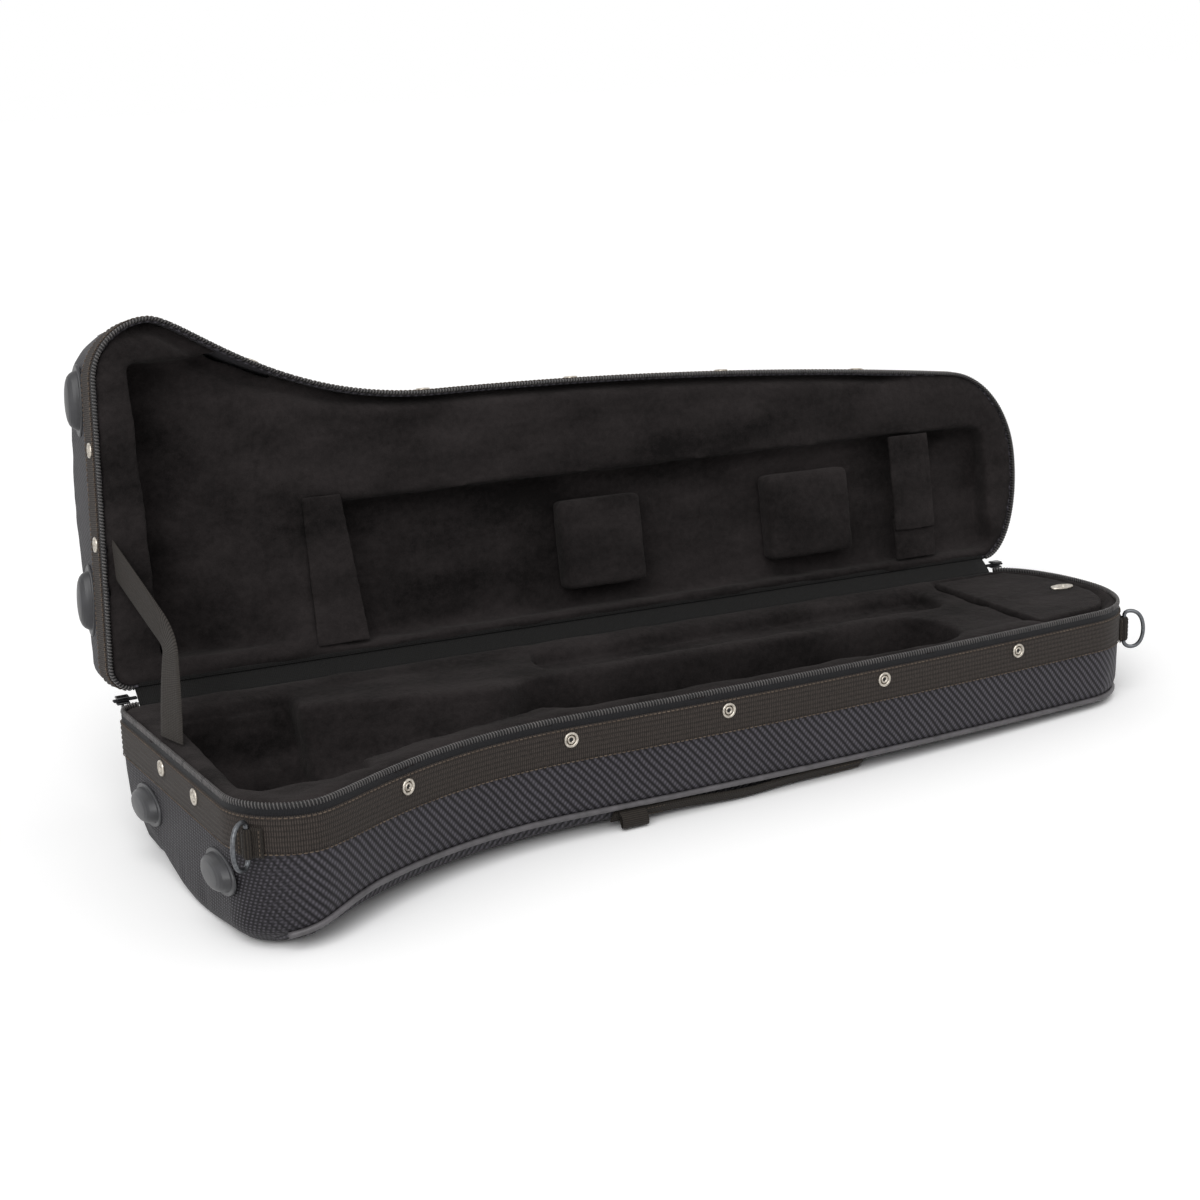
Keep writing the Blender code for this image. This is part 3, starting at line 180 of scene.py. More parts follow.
# Share of the foot's oval and height of each step from the flange to the top of the dome
FOOT_STAGES = ((1.0, 0.0), (1.0, 0.0012), (0.985, 0.0020), (0.955, 0.0023), (0.93, 0.0019), (0.90, 0.0015),
               (0.86, 0.0016), (0.83, 0.0026), (0.80, 0.0048), (0.75, 0.0072), (0.67, 0.0092), (0.56, 0.0105),
               (0.42, 0.0113), (0.26, 0.0117), (0.10, 0.0119))

# D-rings and grab handle
RING_WIRE = 0.0019
RING_HEIGHT = 0.036
RING_BULGE = 0.018
RING_DEPTH = 0.0305
RING_PLAY = 0.0004
RING_SQUARENESS = 0.6
BELL_RING_SHARE = 2.5 / 6
NARROW_RING_SHARE = 0.5
TAB_THICK = 0.0016
TAB_HEIGHT = 0.023
# Distance along from the ring's bar and lift off the wall, from the tab's end to the start of its loop
TAB_SIDE = ((0.0112, 0.0), (0.0075, 0.0), (0.0045, 0.0002))
TAB_LOOP_DEGREES = (205, -25)
TAB_SEAM_AT = 0.0088
TAB_SEAM_HALF = 0.0100
GRAB_BULGE = 0.013
GRAB_WIDTH = 0.034
GRAB_THICK = 0.0014
GRAB_RIB_HEIGHT = 0.0002
GRAB_LAYER_RISE = 0.0016
GRAB_FROM_SHARE = 0.80
GRAB_TO_SHARE = 0.48
GRAB_SEWN_SHARE = 0.16
GRAB_SEAM_INSET = 0.002
GRAB_SEAM_RISE = 0.0032

# Carry handles
HANDLE_FROM = CASE_LENGTH * 0.3745
HANDLE_TO = CASE_LENGTH * 0.6404
HANDLE_WIDTH = 0.0143
HANDLE_THICK = 0.0019
HANDLE_RISE = 0.0022
HANDLE_SLACK = 0.0030
SLACK_SPAN_SHARES = (0.14, 0.72)
HANDLE_SEAM_INSETS = (0.0015, 0.0020)
# Left free between the piping and the strap
HANDLE_CLEAR = 0.0020
# Length from the strap's sewn end towards its middle
HANDLE_TURN = 0.060
ANCHOR_FROM_SHARES = (0.3957, 0.6064)
ANCHOR_LENGTH = 0.030
ANCHOR_THICK = 0.0012
ANCHOR_WIDTH = 0.014
FOLD_AT = 0.014
FOLD_ALONG = 0.020
FOLD_SKEW = 0.006
FOLD_OFF_FLOOR = 0.0012
FOLD_WIDTH = 0.024
FOLD_THICK = 0.0018
# Offset from the rim and fall below the piping, then offset and share of the drop to the floor
FOLD_TOP = ((-0.012, 0.0045), (-0.006, 0.0035), (-0.0015, 0.0050), (0.0008, 0.0090))
FOLD_HANG_SHARES = ((0.0012, 0.62), (-0.0002, 0.86), (-0.0040, 0.97), (-0.0085, 0.90), (-0.0115, 0.70))
FOLD_TURN = (0.0065, 0.0120)

# Spine cloth, stay strap, zip sliders and the compartment's pull
SPINE_LEG = 0.036
GUSSET_INSET = 0.0010
GUSSET_THICK = 0.0010
GUSSET_REACH_SHARE = 0.1
LINING_TOP = 0.0020
STAY_WIDTH = 0.0255
STAY_BEND = 0.016
STAY_THICK = 0.0016
STAY_RIB_HEIGHT = 0.00015
STAY_LID_AT = 0.108
STAY_BASE_AT = 0.118
STAY_INSET = 0.0082
STAY_ELBOW = (0.031, -0.046, 0.060)
STAY_BASE_WAY = (0.27, 0.96)
STAY_ELBOW_SHARE = 0.4
STAY_LEAST_TURN = 0.55
SLIDER_PLATE = 0.0019
SLIDER_ROUND = 0.0008
SLIDER_POST = 0.0018
SLIDER_POST_AT = 0.0032
POST_ROUND = 0.0005
PLATES_AT_SHARE = 0.35
POST_SHARES = (0.35, 0.8)
PULL_ROUND_SHARE = 0.45
GRIP_SHARES = (1.5, 0.75, 0.42)
GRIP_ROUND_SHARE = 0.5
GRIP_DROP_SHARE = 0.2
PULL_RIM = ((0.0034, 0.0000), (0.0128, 0.0000), (0.0130, 0.0009), (0.0122, 0.0017), (0.0112, 0.0013),
            (0.0060, 0.0012), (0.0048, 0.0017), (0.0038, 0.0012))
PULL_OVAL_SHARE = 0.54
PULL_SUNK = 0.0008
PULL_HOLE = 0.0052

# Plush linings: what is rounded inside, the border puffed out to the zip, and the sunk welt of the lid
LINING_VOXEL = 0.0030
INNER_FROM = 0.012
INNER_DEPTH = 0.09
INNER_ROUNDS = {"base": 8, "lid": 3}
UNEVEN = 0.0016
UNEVEN_PER_M = 32
PILE = 0.00045
PILE_PER_M = 210
PAD_PILE_PER_M = 90
PLUSH_IN = 0.0008
PAD_IN = 0.0001
BORDER_DEPTH = 0.045
BORDER_FADE = 0.020
BORDER_FROM = 0.009
BORDER_SPREAD = 0.016
BORDER_WIDTH = 0.030
BORDER_STOPS_SHORT = 0.0040
PUFFS = {"base": 0.0014, "lid": 0.0004}
TOP_DEPTH = 0.014
TOP_SINK = 0.0020
SINK_FROM = 0.010
SINK_SPREAD = 0.022
EDGE_SINK = 0.0016
EDGE_FROM = 0.003
EDGE_SPREAD = 0.004
WELT_DEPTH = 0.016
WELT_FLAT_SHARE = 0.62
WELT_RISE_SHARE = 0.55
WELT_WIDTHS = (0.0095, 0.0210)
WELT_WIDEST_AT = 0.150
WELT_SPREAD = 0.15
WELT_FROM = 0.030
WELT_FADE = 0.040
WELT_TO = 0.78
WELT_END_FADE = 0.06
WELT_FLOOR = 0.050
WELT_FLOOR_FADE = 0.020

# The photograph's camera, from the case's own corner: place, then yaw, pitch and roll in degrees
CAMERA_SPOT = (-0.3284, -1.6129, 0.4842)
CAMERA_ANGLES = (25.7444, 14.3125, -1.6938)
LENS_MM = 59.995

# A place on the rim: its spot (u, w), the way out of the case, its arc and how far along the rim it is
RimPoint = namedtuple("RimPoint", "spot out arc far")


def smooth(t):
    """Eases from 0 to 1 with level ends."""
    t = min(max(t, 0.0), 1.0)
    return t * t * (3 - 2 * t)


def mix(a, b, t):
    return a + (b - a) * t


def cubic(arc, t):
    """The place on a curve of four control points, and the way along it."""
    a, b, c, d = (Vector(point) for point in arc)
    s = 1 - t
    place = a * s ** 3 + b * (3 * s * s * t) + c * (3 * s * t * t) + d * t ** 3
    along = (b - a) * (s * s) + (c - b) * (2 * s * t) + (d - c) * (t * t)
    return place, along.normalized()


def straight(a, b):
    return (a, tuple(Vector(a).lerp(Vector(b), 1 / 3)), tuple(Vector(a).lerp(Vector(b), 2 / 3)), b)


def path_length(path):
    return sum((b - a).length for a, b in zip(path, path[1:]))


def headings(path):
    """Each place of a path, with the way from the place before it to the one after it."""
    ends = [path[0], *path, path[-1]]
    return [(place, after - before) for before, place, after in zip(ends, path, ends[2:])]


def rim_arcs():
    """Eight arcs from the hinge line at the bell end, round the zip side, back along the hinge."""
    waist_u = CASE_LENGTH * WAIST_AT_SHARE
    tail_u = CASE_LENGTH - TAIL_ROUND_LENGTH
    tail_w = TAIL_WIDTH - TAIL_ROUND_WIDTH
    rake = END_RAKE / BELL_WIDTH
    low = Vector((rake * HINGE_CORNER, HINGE_CORNER))
    wall = Vector((rake, 1.0)).normalized()
    high = Vector((rake * (BELL_WIDTH - BELL_CORNER), BELL_WIDTH - BELL_CORNER))
    flare_u = END_RAKE + BELL_CORNER
    flare = waist_u - flare_u
    bow = (tail_u - waist_u) * BOW_SHARE
    drop = (WAIST_WIDTH - TAIL_WIDTH) * BOW_RISE_SHARE
    near = TAIL_ROUND_LENGTH * TAIL_ARC_SHARE
    hinge_end = CASE_LENGTH - TAIL_HINGE_ROUND
    corner = ((HINGE_CORNER, 0), (HINGE_CORNER * (1 - ARC_SHARE), 0),
              tuple(low - wall * HINGE_CORNER * ARC_SHARE), tuple(low))
    front_corner = (tuple(high), tuple(high + wall * BELL_CORNER * ARC_SHARE),
                    (flare_u - BELL_CORNER * ARC_SHARE, BELL_WIDTH), (flare_u, BELL_WIDTH))
    flared = ((flare_u, BELL_WIDTH), (flare_u + flare * FLARE_SHARES[0], BELL_WIDTH),
              (waist_u - flare * FLARE_SHARES[1], WAIST_WIDTH), (waist_u, WAIST_WIDTH))
    bowed = ((waist_u, WAIST_WIDTH), (waist_u + bow, WAIST_WIDTH),
             (tail_u - bow, TAIL_WIDTH + drop), (tail_u, TAIL_WIDTH))
    tail = ((tail_u, TAIL_WIDTH), (tail_u + near, TAIL_WIDTH - drop / bow * near),
            (CASE_LENGTH, tail_w + TAIL_ROUND_WIDTH * TAIL_ARC_SHARE), (CASE_LENGTH, tail_w))
    tail_hinge = ((CASE_LENGTH, tail_w), (CASE_LENGTH, tail_w * (1 - TAIL_ARC_SHARE)),
                  (hinge_end + TAIL_HINGE_ROUND * TAIL_ARC_SHARE, 0), (hinge_end, 0))
    hinge = straight((hinge_end, 0), (HINGE_CORNER, 0))
    return [corner, straight(tuple(low), tuple(high)), front_corner, flared, bowed, tail, tail_hinge, hinge]


ARCS = rim_arcs()


def rim_points():
    """Evenly spaced points round the rim, with how far along the rim each one is."""
    points = []
    far = 0.0
    for number, arc in enumerate(ARCS):
        fine = [cubic(arc, step / 60)[0] for step in range(61)]
        count = max(int(path_length(fine) / RIM_STEP), 6)
        for step in range(count):
            spot, along = cubic(arc, step / count)
            if points:
                far += (spot - points[-1].spot).length
            points.append(RimPoint(spot, Vector((-along.y, along.x)), number, far))
    return points


RIM = rim_points()
ZIP_RIM = [point for point in RIM if point.arc != HINGE_ARC]
HINGE_RIM = [point for point in RIM if point.arc == HINGE_ARC]
FRONT_RIM = [point for point in RIM if FRONT_CORNER_ARC <= point.arc <= TAIL_ARC]
WALL_RIM = [point for point in RIM if point.arc == WALL_ARC]
RIM_TREE = KDTree(len(RIM))
for number, point in enumerate(RIM):
    RIM_TREE.insert((*point.spot, 0), number)
RIM_TREE.balance()


def nearest_rim(u, w):
    """How far a spot lies inside the rim, and the rim point next to it."""
    best = RIM[RIM_TREE.find((u, w, 0))[1]]
    return max(-(Vector((u, w)) - best.spot).dot(best.out), 0.0), best


def between(a, b, share):
    along = (b.spot - a.spot).normalized()
    return RimPoint(a.spot.lerp(b.spot, share), Vector((-along.y, along.x)), a.arc, mix(a.far, b.far, share))


def reaching(points, axis, value):
    """The place on a run of the rim where u (axis 0) or w (axis 1) reaches a value, or its nearer end."""
    for a, b in zip(points, points[1:]):
        low, high = a.spot[axis], b.spot[axis]
        if low <= value <= high:
            return between(a, b, (value - low) / (high - low))
    return points[0] if value < points[0].spot[axis] else points[-1]


def front_point(u):
    """The place on the zip side at u."""
    return reaching(FRONT_RIM, 0, u)


def end_point(w):
    """The place on the bell end wall at w."""
    return reaching(WALL_RIM, 1, w)


def front_width(u):
    return front_point(u).spot.y


def out(point, amount):
    return point.spot + point.out * amount


def inward(point, share):
    """The spot a share of the way from the rim to the middle line of the case."""
    u = min(max(point.spot.x, BELL_MIDDLE), CASE_LENGTH - TAIL_MIDDLE)
    return point.spot.lerp(Vector((u, front_width(u) / 2)), share)


def near_end(point):
    """1 on the bell end wall, falling to 0 a little way along the case."""
    return smooth(1 - point.spot.x / END_BLEND)


LID_JOINT = next(joint for joint in frame["joints"] if joint["name"] == "lid_hinge")
CASE_X = -Vector(LID_JOINT["axis"])
CASE_TURN = Matrix((CASE_X, Vector((0, 1, 0)), CASE_X.cross(Vector((0, 1, 0))))).transposed()


class Half:
    """One half of the case: where its spots lie in the room, and how deep it is."""

    def __init__(self, name):
        self.name = name
        self.lid = name == "lid"
        self.turn = CASE_TURN @ Matrix.Rotation(-OPEN_ANGLE, 3, "X") if self.lid else CASE_TURN
        self.origin = Vector(LID_JOINT["pos_m"])
        if not self.lid:
            self.origin -= CASE_TURN @ Vector((0, HINGE_OUT, RIM_GAP / 2))

    def place(self, spot, depth):
        if self.lid:
            return self.origin + self.turn @ Vector((spot[0], -spot[1] - HINGE_OUT, depth + RIM_GAP / 2))
        return self.origin + self.turn @ Vector((spot[0], -spot[1], -depth))

    def local(self, place):
        """The u, w and depth of a place in the room."""
        spot = self.turn.transposed() @ (place - self.origin)
        if self.lid:
            return spot.x, -spot.y - HINGE_OUT, spot.z - RIM_GAP / 2
        return spot.x, -spot.y, -spot.z

    def floor(self, u):
        return mix(BELL_DEPTHS[self.name], TAIL_DEPTHS[self.name], u / CASE_LENGTH)

    def piping(self, spot):
        """Depth of the piping's seam at a spot of the rim."""
        across = min(max(spot.y / BELL_WIDTH, 0.0), 1.0)
        bow = END_MIDDLE_SHARE * smooth(1 - abs(across * 2 - 1))
        corner = BELL_DEPTHS[self.name] * (mix(HINGE_CORNER_SHARE, BELL_CORNER_SHARE, across) + bow)
        near_bell = smooth((CORNER_DROP_FROM - spot.x) / (CORNER_DROP_FROM - CORNER_DROP_TO))
        return mix(TAIL_DEPTHS[self.name] * SIDE_SHARE, corner, near_bell)

    def wall_frame(self, point, offset, depth):
        """Turns local along, up and out into a place in the room at a point of the rim."""
        origin = self.place(out(point, offset), depth)
        outward = (self.place(out(point, offset + 1), depth) - origin).normalized()
        upward = (self.place(out(point, offset), depth - 1) - origin).normalized()
        turn = Matrix((upward.cross(outward), upward, outward)).transposed().to_4x4()
        turn.translation = origin
        return turn


BASE = Half("base")
LID = Half("lid")


# Materials

def linear(code):
    """Linear colour of an sRGB hex value such as 373437."""
    shares = [int(code[i:i + 2], 16) / 255 for i in (0, 2, 4)]
    tones = [share / 12.92 if share <= 0.04045 else ((share + 0.055) / 1.055) ** 2.4 for share in shares]
    return (*tones, 1.0)


def add_node(tree, kind, inputs=(), stops=(), **settings):
    """Add a shader node, set or link its inputs, fill its colour stops, and give back its first output."""
    made = tree.nodes.new("ShaderNode" + kind)
    for name, value in settings.items():
        setattr(made, name, value)
    for name, value in inputs.items() if isinstance(inputs, dict) else enumerate(inputs):
        if isinstance(value, bpy.types.NodeSocket):
            tree.links.new(value, made.inputs[name])
        else:
            made.inputs[name].default_value = value
    if stops:
        elements = made.color_ramp.elements
        while len(elements) < len(stops):
            elements.new(0.5)
        for element, (place, code) in zip(elements, stops):
            element.position = place
            element.color = linear(code)
    return made.outputs[0]


def new_material(name, colour, roughness, **values):
    """A Principled material; further values are its sockets by name with _ for a space."""
    made = bpy.data.materials.new(name)
    made.use_nodes = True
    shader = made.node_tree.nodes["Principled BSDF"]
    shader.inputs["Base Color"].default_value = linear(colour)
    shader.inputs["Roughness"].default_value = roughness
    for key, value in values.items():
        shader.inputs[key.replace("_", " ")].default_value = value
    return made, made.node_tree, shader


def cloth_mm(tree):
    """Millimetres on the cloth from the piece's own UV map: the vector, its x along and its y down."""
    uv = add_node(tree, "UVMap", uv_map="cloth")
    cloth = add_node(tree, "VectorMath", (uv, (1000, 1000, 1000)), operation="MULTIPLY")
    along = add_node(tree, "SeparateXYZ", (cloth,))
    return cloth, along, along.node.outputs["Y"]


def piece_mm(tree, stretch=(1000, 1000, 1000)):
    """Millimetres through the piece from its Object coordinates."""
    place = add_node(tree, "TexCoord").node.outputs["Object"]
    return add_node(tree, "Mapping", {"Vector": place, "Scale": stretch})


def ridges(tree, value, period_mm):
    """Smooth ridges from 0 to 1, one for each period."""
    turn = add_node(tree, "Math", (value, math.tau / period_mm), operation="MULTIPLY")
    sine = add_node(tree, "Math", (turn,), operation="SINE")
    return add_node(tree, "Math", (sine, 0.5, 0.5), operation="MULTIPLY_ADD")


def twill_cloth():
    """Woven polyester over board: 5.3 mm diagonal ribs of floats on the sides; on the end the same twill is
    painted as a finer grid of dots, a painted look of grazing light on its threads.
    """
    made, tree, shader = new_material("polyester twill", "38353a", 0.60, Specular_IOR_Level=0.16,
                                      Sheen_Weight=0.04, Sheen_Roughness=0.5)
    cloth, along, down = cloth_mm(tree)
    drift = add_node(tree, "TexNoise", {"Vector": cloth, "Scale": 1 / 34, "Detail": 2.0})
    lean = add_node(tree, "Math", (drift, 0.55), operation="MULTIPLY")
    # Ribs for each millimetre along and up the cloth, which puts them 5.3 mm apart
    lean = add_node(tree, "Math", (along, 0.141, lean), operation="MULTIPLY_ADD")
    lean = add_node(tree, "Math", (down, -0.126, lean), operation="MULTIPLY_ADD")
    rib = add_node(tree, "Math", (ridges(tree, lean, 1.0), 0.7), operation="POWER")
    # Floats cross each rib every 3.1 mm
    float_turn = add_node(tree, "Math", (along, 0.274), operation="MULTIPLY")
    float_turn = add_node(tree, "Math", (down, 0.171, float_turn), operation="MULTIPLY_ADD")
    floats = add_node(tree, "Math", (ridges(tree, float_turn, 1.0), 0.45, 0.55), operation="MULTIPLY_ADD")
    ribs = add_node(tree, "Math", (rib, floats), operation="MULTIPLY")
    skewed = add_node(tree, "Math", (down, 0.35, along), operation="MULTIPLY_ADD")
    grid = add_node(tree, "Math", (ridges(tree, skewed, 3.9), ridges(tree, down, 2.7)), operation="MULTIPLY")
    # The end wall is the first 285 mm of the rim, where the grid paints grazing light picking out the twill
    # as dots; the ribs fade in round the corner
    side = add_node(tree, "MapRange", {"Value": along, "From Min": 285.0, "From Max": 345.0})
    weave = add_node(tree, "Mix", {0: side, 2: grid, 3: ribs})
    fuzz = add_node(tree, "TexNoise", {"Vector": cloth, "Scale": 1 / 1.3, "Detail": 2.0})
    worn = add_node(tree, "TexNoise", {"Vector": cloth, "Scale": 1 / 70, "Detail": 3.0})
    tone = add_node(tree, "Math", (weave, 0.72), operation="MULTIPLY")
    tone = add_node(tree, "Math", (fuzz, 0.22, tone), operation="MULTIPLY_ADD")
    tone = add_node(tree, "Math", (worn, 0.12, tone), operation="MULTIPLY_ADD")
    colour = add_node(tree, "ValToRGB", (tone,), ((0.12, "0f0e10"), (0.42, "29272b"), (1.0, "5c5960")))
    tree.links.new(colour, shader.inputs["Base Color"])
    raised = add_node(tree, "Bump", {"Height": weave, "Distance": 0.0008, "Strength": 0.8})
    tree.links.new(raised, shader.inputs["Normal"])
    return made


def webbing(name, dark, light, cross_mm, rib_mm=0.0):
    """Woven webbing: a thread every cross_mm along it on yarns 1.2 mm apart, and a groove every rib_mm."""
    made, tree, shader = new_material(name, dark, 0.68, Specular_IOR_Level=0.18, Sheen_Weight=0.03)
    cloth, along, down = cloth_mm(tree)
    drift = add_node(tree, "TexNoise", {"Vector": cloth, "Scale": 1 / 12, "Detail": 2.0})
    wandering = add_node(tree, "Math", (drift, 0.8, along), operation="MULTIPLY_ADD")
    rows = add_node(tree, "Math", (ridges(tree, down, 1.2), 0.5, 0.5), operation="MULTIPLY_ADD")
    weave = add_node(tree, "Math", (ridges(tree, wandering, cross_mm), rows), operation="MULTIPLY")
    if rib_mm:
        rib = add_node(tree, "Math", (ridges(tree, down, rib_mm), 0.5), operation="POWER")
        rib = add_node(tree, "Math", (rib, 0.75, 0.25), operation="MULTIPLY_ADD")
        weave = add_node(tree, "Math", (weave, rib), operation="MULTIPLY")
    worn = add_node(tree, "TexNoise", {"Vector": cloth, "Scale": 1 / 3, "Detail": 3.0})
    tone = add_node(tree, "Math", (weave, 0.7), operation="MULTIPLY")
    tone = add_node(tree, "Math", (worn, 0.35, tone), operation="MULTIPLY_ADD")
    colour = add_node(tree, "ValToRGB", (tone,), ((0.1, dark), (0.9, light)))
    tree.links.new(colour, shader.inputs["Base Color"])
    raised = add_node(tree, "Bump", {"Height": weave, "Distance": 0.00045, "Strength": 0.8})
    tree.links.new(raised, shader.inputs["Normal"])
    return made


def plush_cloth(name, dark, light):
    """Brushed plush over foam: short pile in soft patches; the pale patches are painted sheen of pile stroked
    up.
    """
    made, tree, shader = new_material(name, dark, 0.95, Sheen_Weight=0.12, Sheen_Roughness=0.6,
                                      Specular_IOR_Level=0.08)
    shader.inputs["Sheen Tint"].default_value = linear("8c8886")
    place = piece_mm(tree)
    long_place = piece_mm(tree, (420, 1000, 1000))
    painted_sheen_strokes = add_node(tree, "TexNoise", {"Vector": long_place, "Scale": 1 / 48, "Detail": 4.0})
    tufts = add_node(tree, "TexNoise", {"Vector": place, "Scale": 1 / 6, "Detail": 3.0, "Roughness": 0.6})
    pile = add_node(tree, "TexNoise", {"Vector": place, "Scale": 1 / 1.2, "Detail": 3.0, "Roughness": 0.7})
    # Painted sheen: this long noise lightens the colour in patches where the brushed pile would catch the
    # light; tufts and pile add random tone
    tone = add_node(tree, "Math", (painted_sheen_strokes, 0.6), operation="MULTIPLY")
    tone = add_node(tree, "Math", (tufts, 0.2, tone), operation="MULTIPLY_ADD")
    tone = add_node(tree, "Math", (pile, 0.2, tone), operation="MULTIPLY_ADD")
    colour = add_node(tree, "ValToRGB", (tone,), ((0.37, dark), (0.63, light)))
    tree.links.new(colour, shader.inputs["Base Color"])
    height = add_node(tree, "Math", (tufts, 0.8), operation="MULTIPLY")
    height = add_node(tree, "Math", (pile, 0.45, height), operation="MULTIPLY_ADD")
    raised = add_node(tree, "Bump", {"Height": height, "Distance": 0.0018, "Strength": 0.7})
    tree.links.new(raised, shader.inputs["Normal"])
    return made


def moulded(name, dark, light, roughness, grain_mm, depth_mm, **values):
    """Moulded plastic or rubber with a fine grain and slight wear in its gloss."""
    made, tree, shader = new_material(name, dark, roughness, **values)
    place = piece_mm(tree)
    worn = add_node(tree, "TexNoise", {"Vector": place, "Scale": 1 / 9, "Detail": 4.0})
    colour = add_node(tree, "ValToRGB", (worn,), ((0.3, dark), (0.75, light)))
    tree.links.new(colour, shader.inputs["Base Color"])
    gloss = add_node(tree, "Math", (worn, 0.2, roughness - 0.1), operation="MULTIPLY_ADD")
    tree.links.new(gloss, shader.inputs["Roughness"])
    grain = add_node(tree, "TexNoise", {"Vector": place, "Scale": 1 / grain_mm, "Detail": 2.0})
    raised = add_node(tree, "Bump", {"Height": grain, "Distance": depth_mm / 1000, "Strength": 0.5})
    tree.links.new(raised, shader.inputs["Normal"])
    return made


def plated(name, dark, light, roughness):
    """Plated metal with light handling marks in its gloss."""
    made, tree, shader = new_material(name, light, roughness, Metallic=1.0)
    place = piece_mm(tree)
    marks = add_node(tree, "TexNoise", {"Vector": place, "Scale": 1 / 2.5, "Detail": 5.0, "Roughness": 0.7})
    colour = add_node(tree, "ValToRGB", (marks,), ((0.3, dark), (0.6, light)))
    tree.links.new(colour, shader.inputs["Base Color"])
    gloss = add_node(tree, "Math", (marks, 0.25, roughness - 0.08), operation="MULTIPLY_ADD")
    tree.links.new(gloss, shader.inputs["Roughness"])
    return made


# Matt charcoal cloth whose ribs catch a soft light
TWILL = twill_cloth()
# Dense brown-black webbing: cross threads read as fine upright strokes
BAND = webbing("ribbed webbing band", "100d0b", "504843", 1.8, BAND_WIDTH * 1000 / BAND_RIBS)
# The same yarn in a closer weave, a little darker
STRAP = webbing("ribbed strap webbing", "0f0d0c", "3b352f", 1.7)
# Worn webbing, paler than the handles
STAY = webbing("stay webbing", "1a1816", "45403c", 1.5)
# Fine flat weave, near black between the coil and the band
TAPE = webbing("zip tape", "0e0e0f", "232326", 1.1)
# Black cloth that swallows light along the hinge
GUSSET = webbing("gusset cloth", "060606", "141312", 1.6)
# Deep black pile with a pale bloom where it turns from the eye
PLUSH = plush_cloth("black plush", "0d0b0b", "2e2a2a")
# Glossy vinyl sleeve over cord: a pale line of light along it
PIPING = moulded("vinyl piping", "444244", "5e5b5e", 0.5, 1.2, 0.1)
# Clear-edged turns of black nylon wire, painted a lighter grey than the tape behind them as the highlight on
# each lit turn
NYLON = moulded("nylon coil", "3c3a3a", "575352", 0.30, 1.5, 0.05)
# Unlit depth of a hole or of the gap inside the coil
SHADE = moulded("dark hole", "060606", "0c0c0c", 0.8, 1.5, 0.05)
# Dark grey rubber with a soft highlight on the dome
RUBBER = moulded("moulded rubber", "28282a", "37373a", 0.42, 0.8, 0.05)
# Brown thread, pale enough to read as single stitches
THREAD = moulded("polyester thread", "483e36", "6a5e53", 0.7, 0.8, 0.1, Specular_IOR_Level=0.2)
# Hard black coat with a clear, narrow highlight
ENAMEL = moulded("black enamelled zinc", "0e0e10", "19191b", 0.3, 1.5, 0.02, Coat_Weight=0.3)
# Warm bright metal with a blurred reflection
NICKEL = plated("nickel plate", "827b72", "c9c2b7", 0.28)
# Cool dark metal, duller than the rivets
GUNMETAL = plated("gunmetal plate", "46484b", "6d6f72", 0.36)


# Mesh helpers

def skin(rows, marks=None, closed=False, start_row=0):
    """Surface made by extruding a first row of points from row to row.

    Its UV map holds metres: x from the marks of the columns, y measured over the rows from start_row.
    Closed rows are loops, whose first and last rows are filled.
    """
    bm = bmesh.new()
    column = bm.verts.layers.int.new("column")
    count = len(rows[0])
    if marks is None:
        marks = [0.0]
        for before, after in zip(rows[0], rows[0][1:]):
            marks.append(marks[-1] + (after - before).length)
    ordered = [bm.verts.new(point) for point in rows[0]]
    for number, vert in enumerate(ordered):
        vert[column] = number
    sides = count if closed else count - 1
    ring = [bm.edges.new((ordered[i], ordered[(i + 1) % count])) for i in range(sides)]
    levels = {vert: 0 for vert in ordered}
    loops = [list(ring)]
    for number, row in enumerate(rows[1:], 1):
        grown = bmesh.ops.extrude_edge_only(bm, edges=ring)["geom"]
        fresh = {item for item in grown if isinstance(item, bmesh.types.BMVert)}
        ring = [item for item in grown if isinstance(item, bmesh.types.BMEdge) and set(item.verts) <= fresh]
        for old in ordered:
            new = next(edge.other_vert(old) for edge in old.link_edges if edge.other_vert(old) in fresh)
            new[column] = old[column]
            new.co = row[old[column]]
            levels[new] = number
        ordered = sorted(fresh, key=lambda vert: vert[column])
    loops.append(list(ring))
    walked = [[0.0] * count]
    for before, after in zip(rows, rows[1:]):
        walked.append([far + (b - a).length for far, a, b in zip(walked[-1], before, after)])
    uv = bm.loops.layers.uv.new("cloth")
    for face in bm.faces:
        columns = [loop.vert[column] for loop in face.loops]
        wraps = closed and max(columns) - min(columns) > 1
        for loop in face.loops:
            c = loop.vert[column]
            r = levels[loop.vert]
            far = marks[count] if wraps and c == 0 else marks[c]
            loop[uv].uv = (far, walked[r][c] - walked[start_row][c])
    if closed:
        for loop in loops:
            bmesh.ops.contextual_create(bm, geom=loop)
    bmesh.ops.recalc_face_normals(bm, faces=bm.faces)
    return bm


def wrapped(rows, marks=None):
    """Closed strip whose rows run along it and go once round its section, with both ends filled."""
    bm = skin(rows + [rows[0]], marks)
    bmesh.ops.remove_doubles(bm, verts=bm.verts, dist=0.000001)
    bmesh.ops.holes_fill(bm, edges=[edge for edge in bm.edges if edge.is_boundary], sides=0)
    bmesh.ops.recalc_face_normals(bm, faces=bm.faces)
    return bm


def swept(half, section, points):
    """Section of offsets and depths carried along points of the rim."""
    rows = [[half.place(out(point, offset), depth) for point in points] for offset, depth in section]
    return wrapped(rows, [point.far for point in points])


def ribbon(frames, section):
    """Section of across and away distances carried along frames of spot, across and away."""
    return wrapped([[spot + across * a + away * b for spot, across, away in frames] for a, b in section])


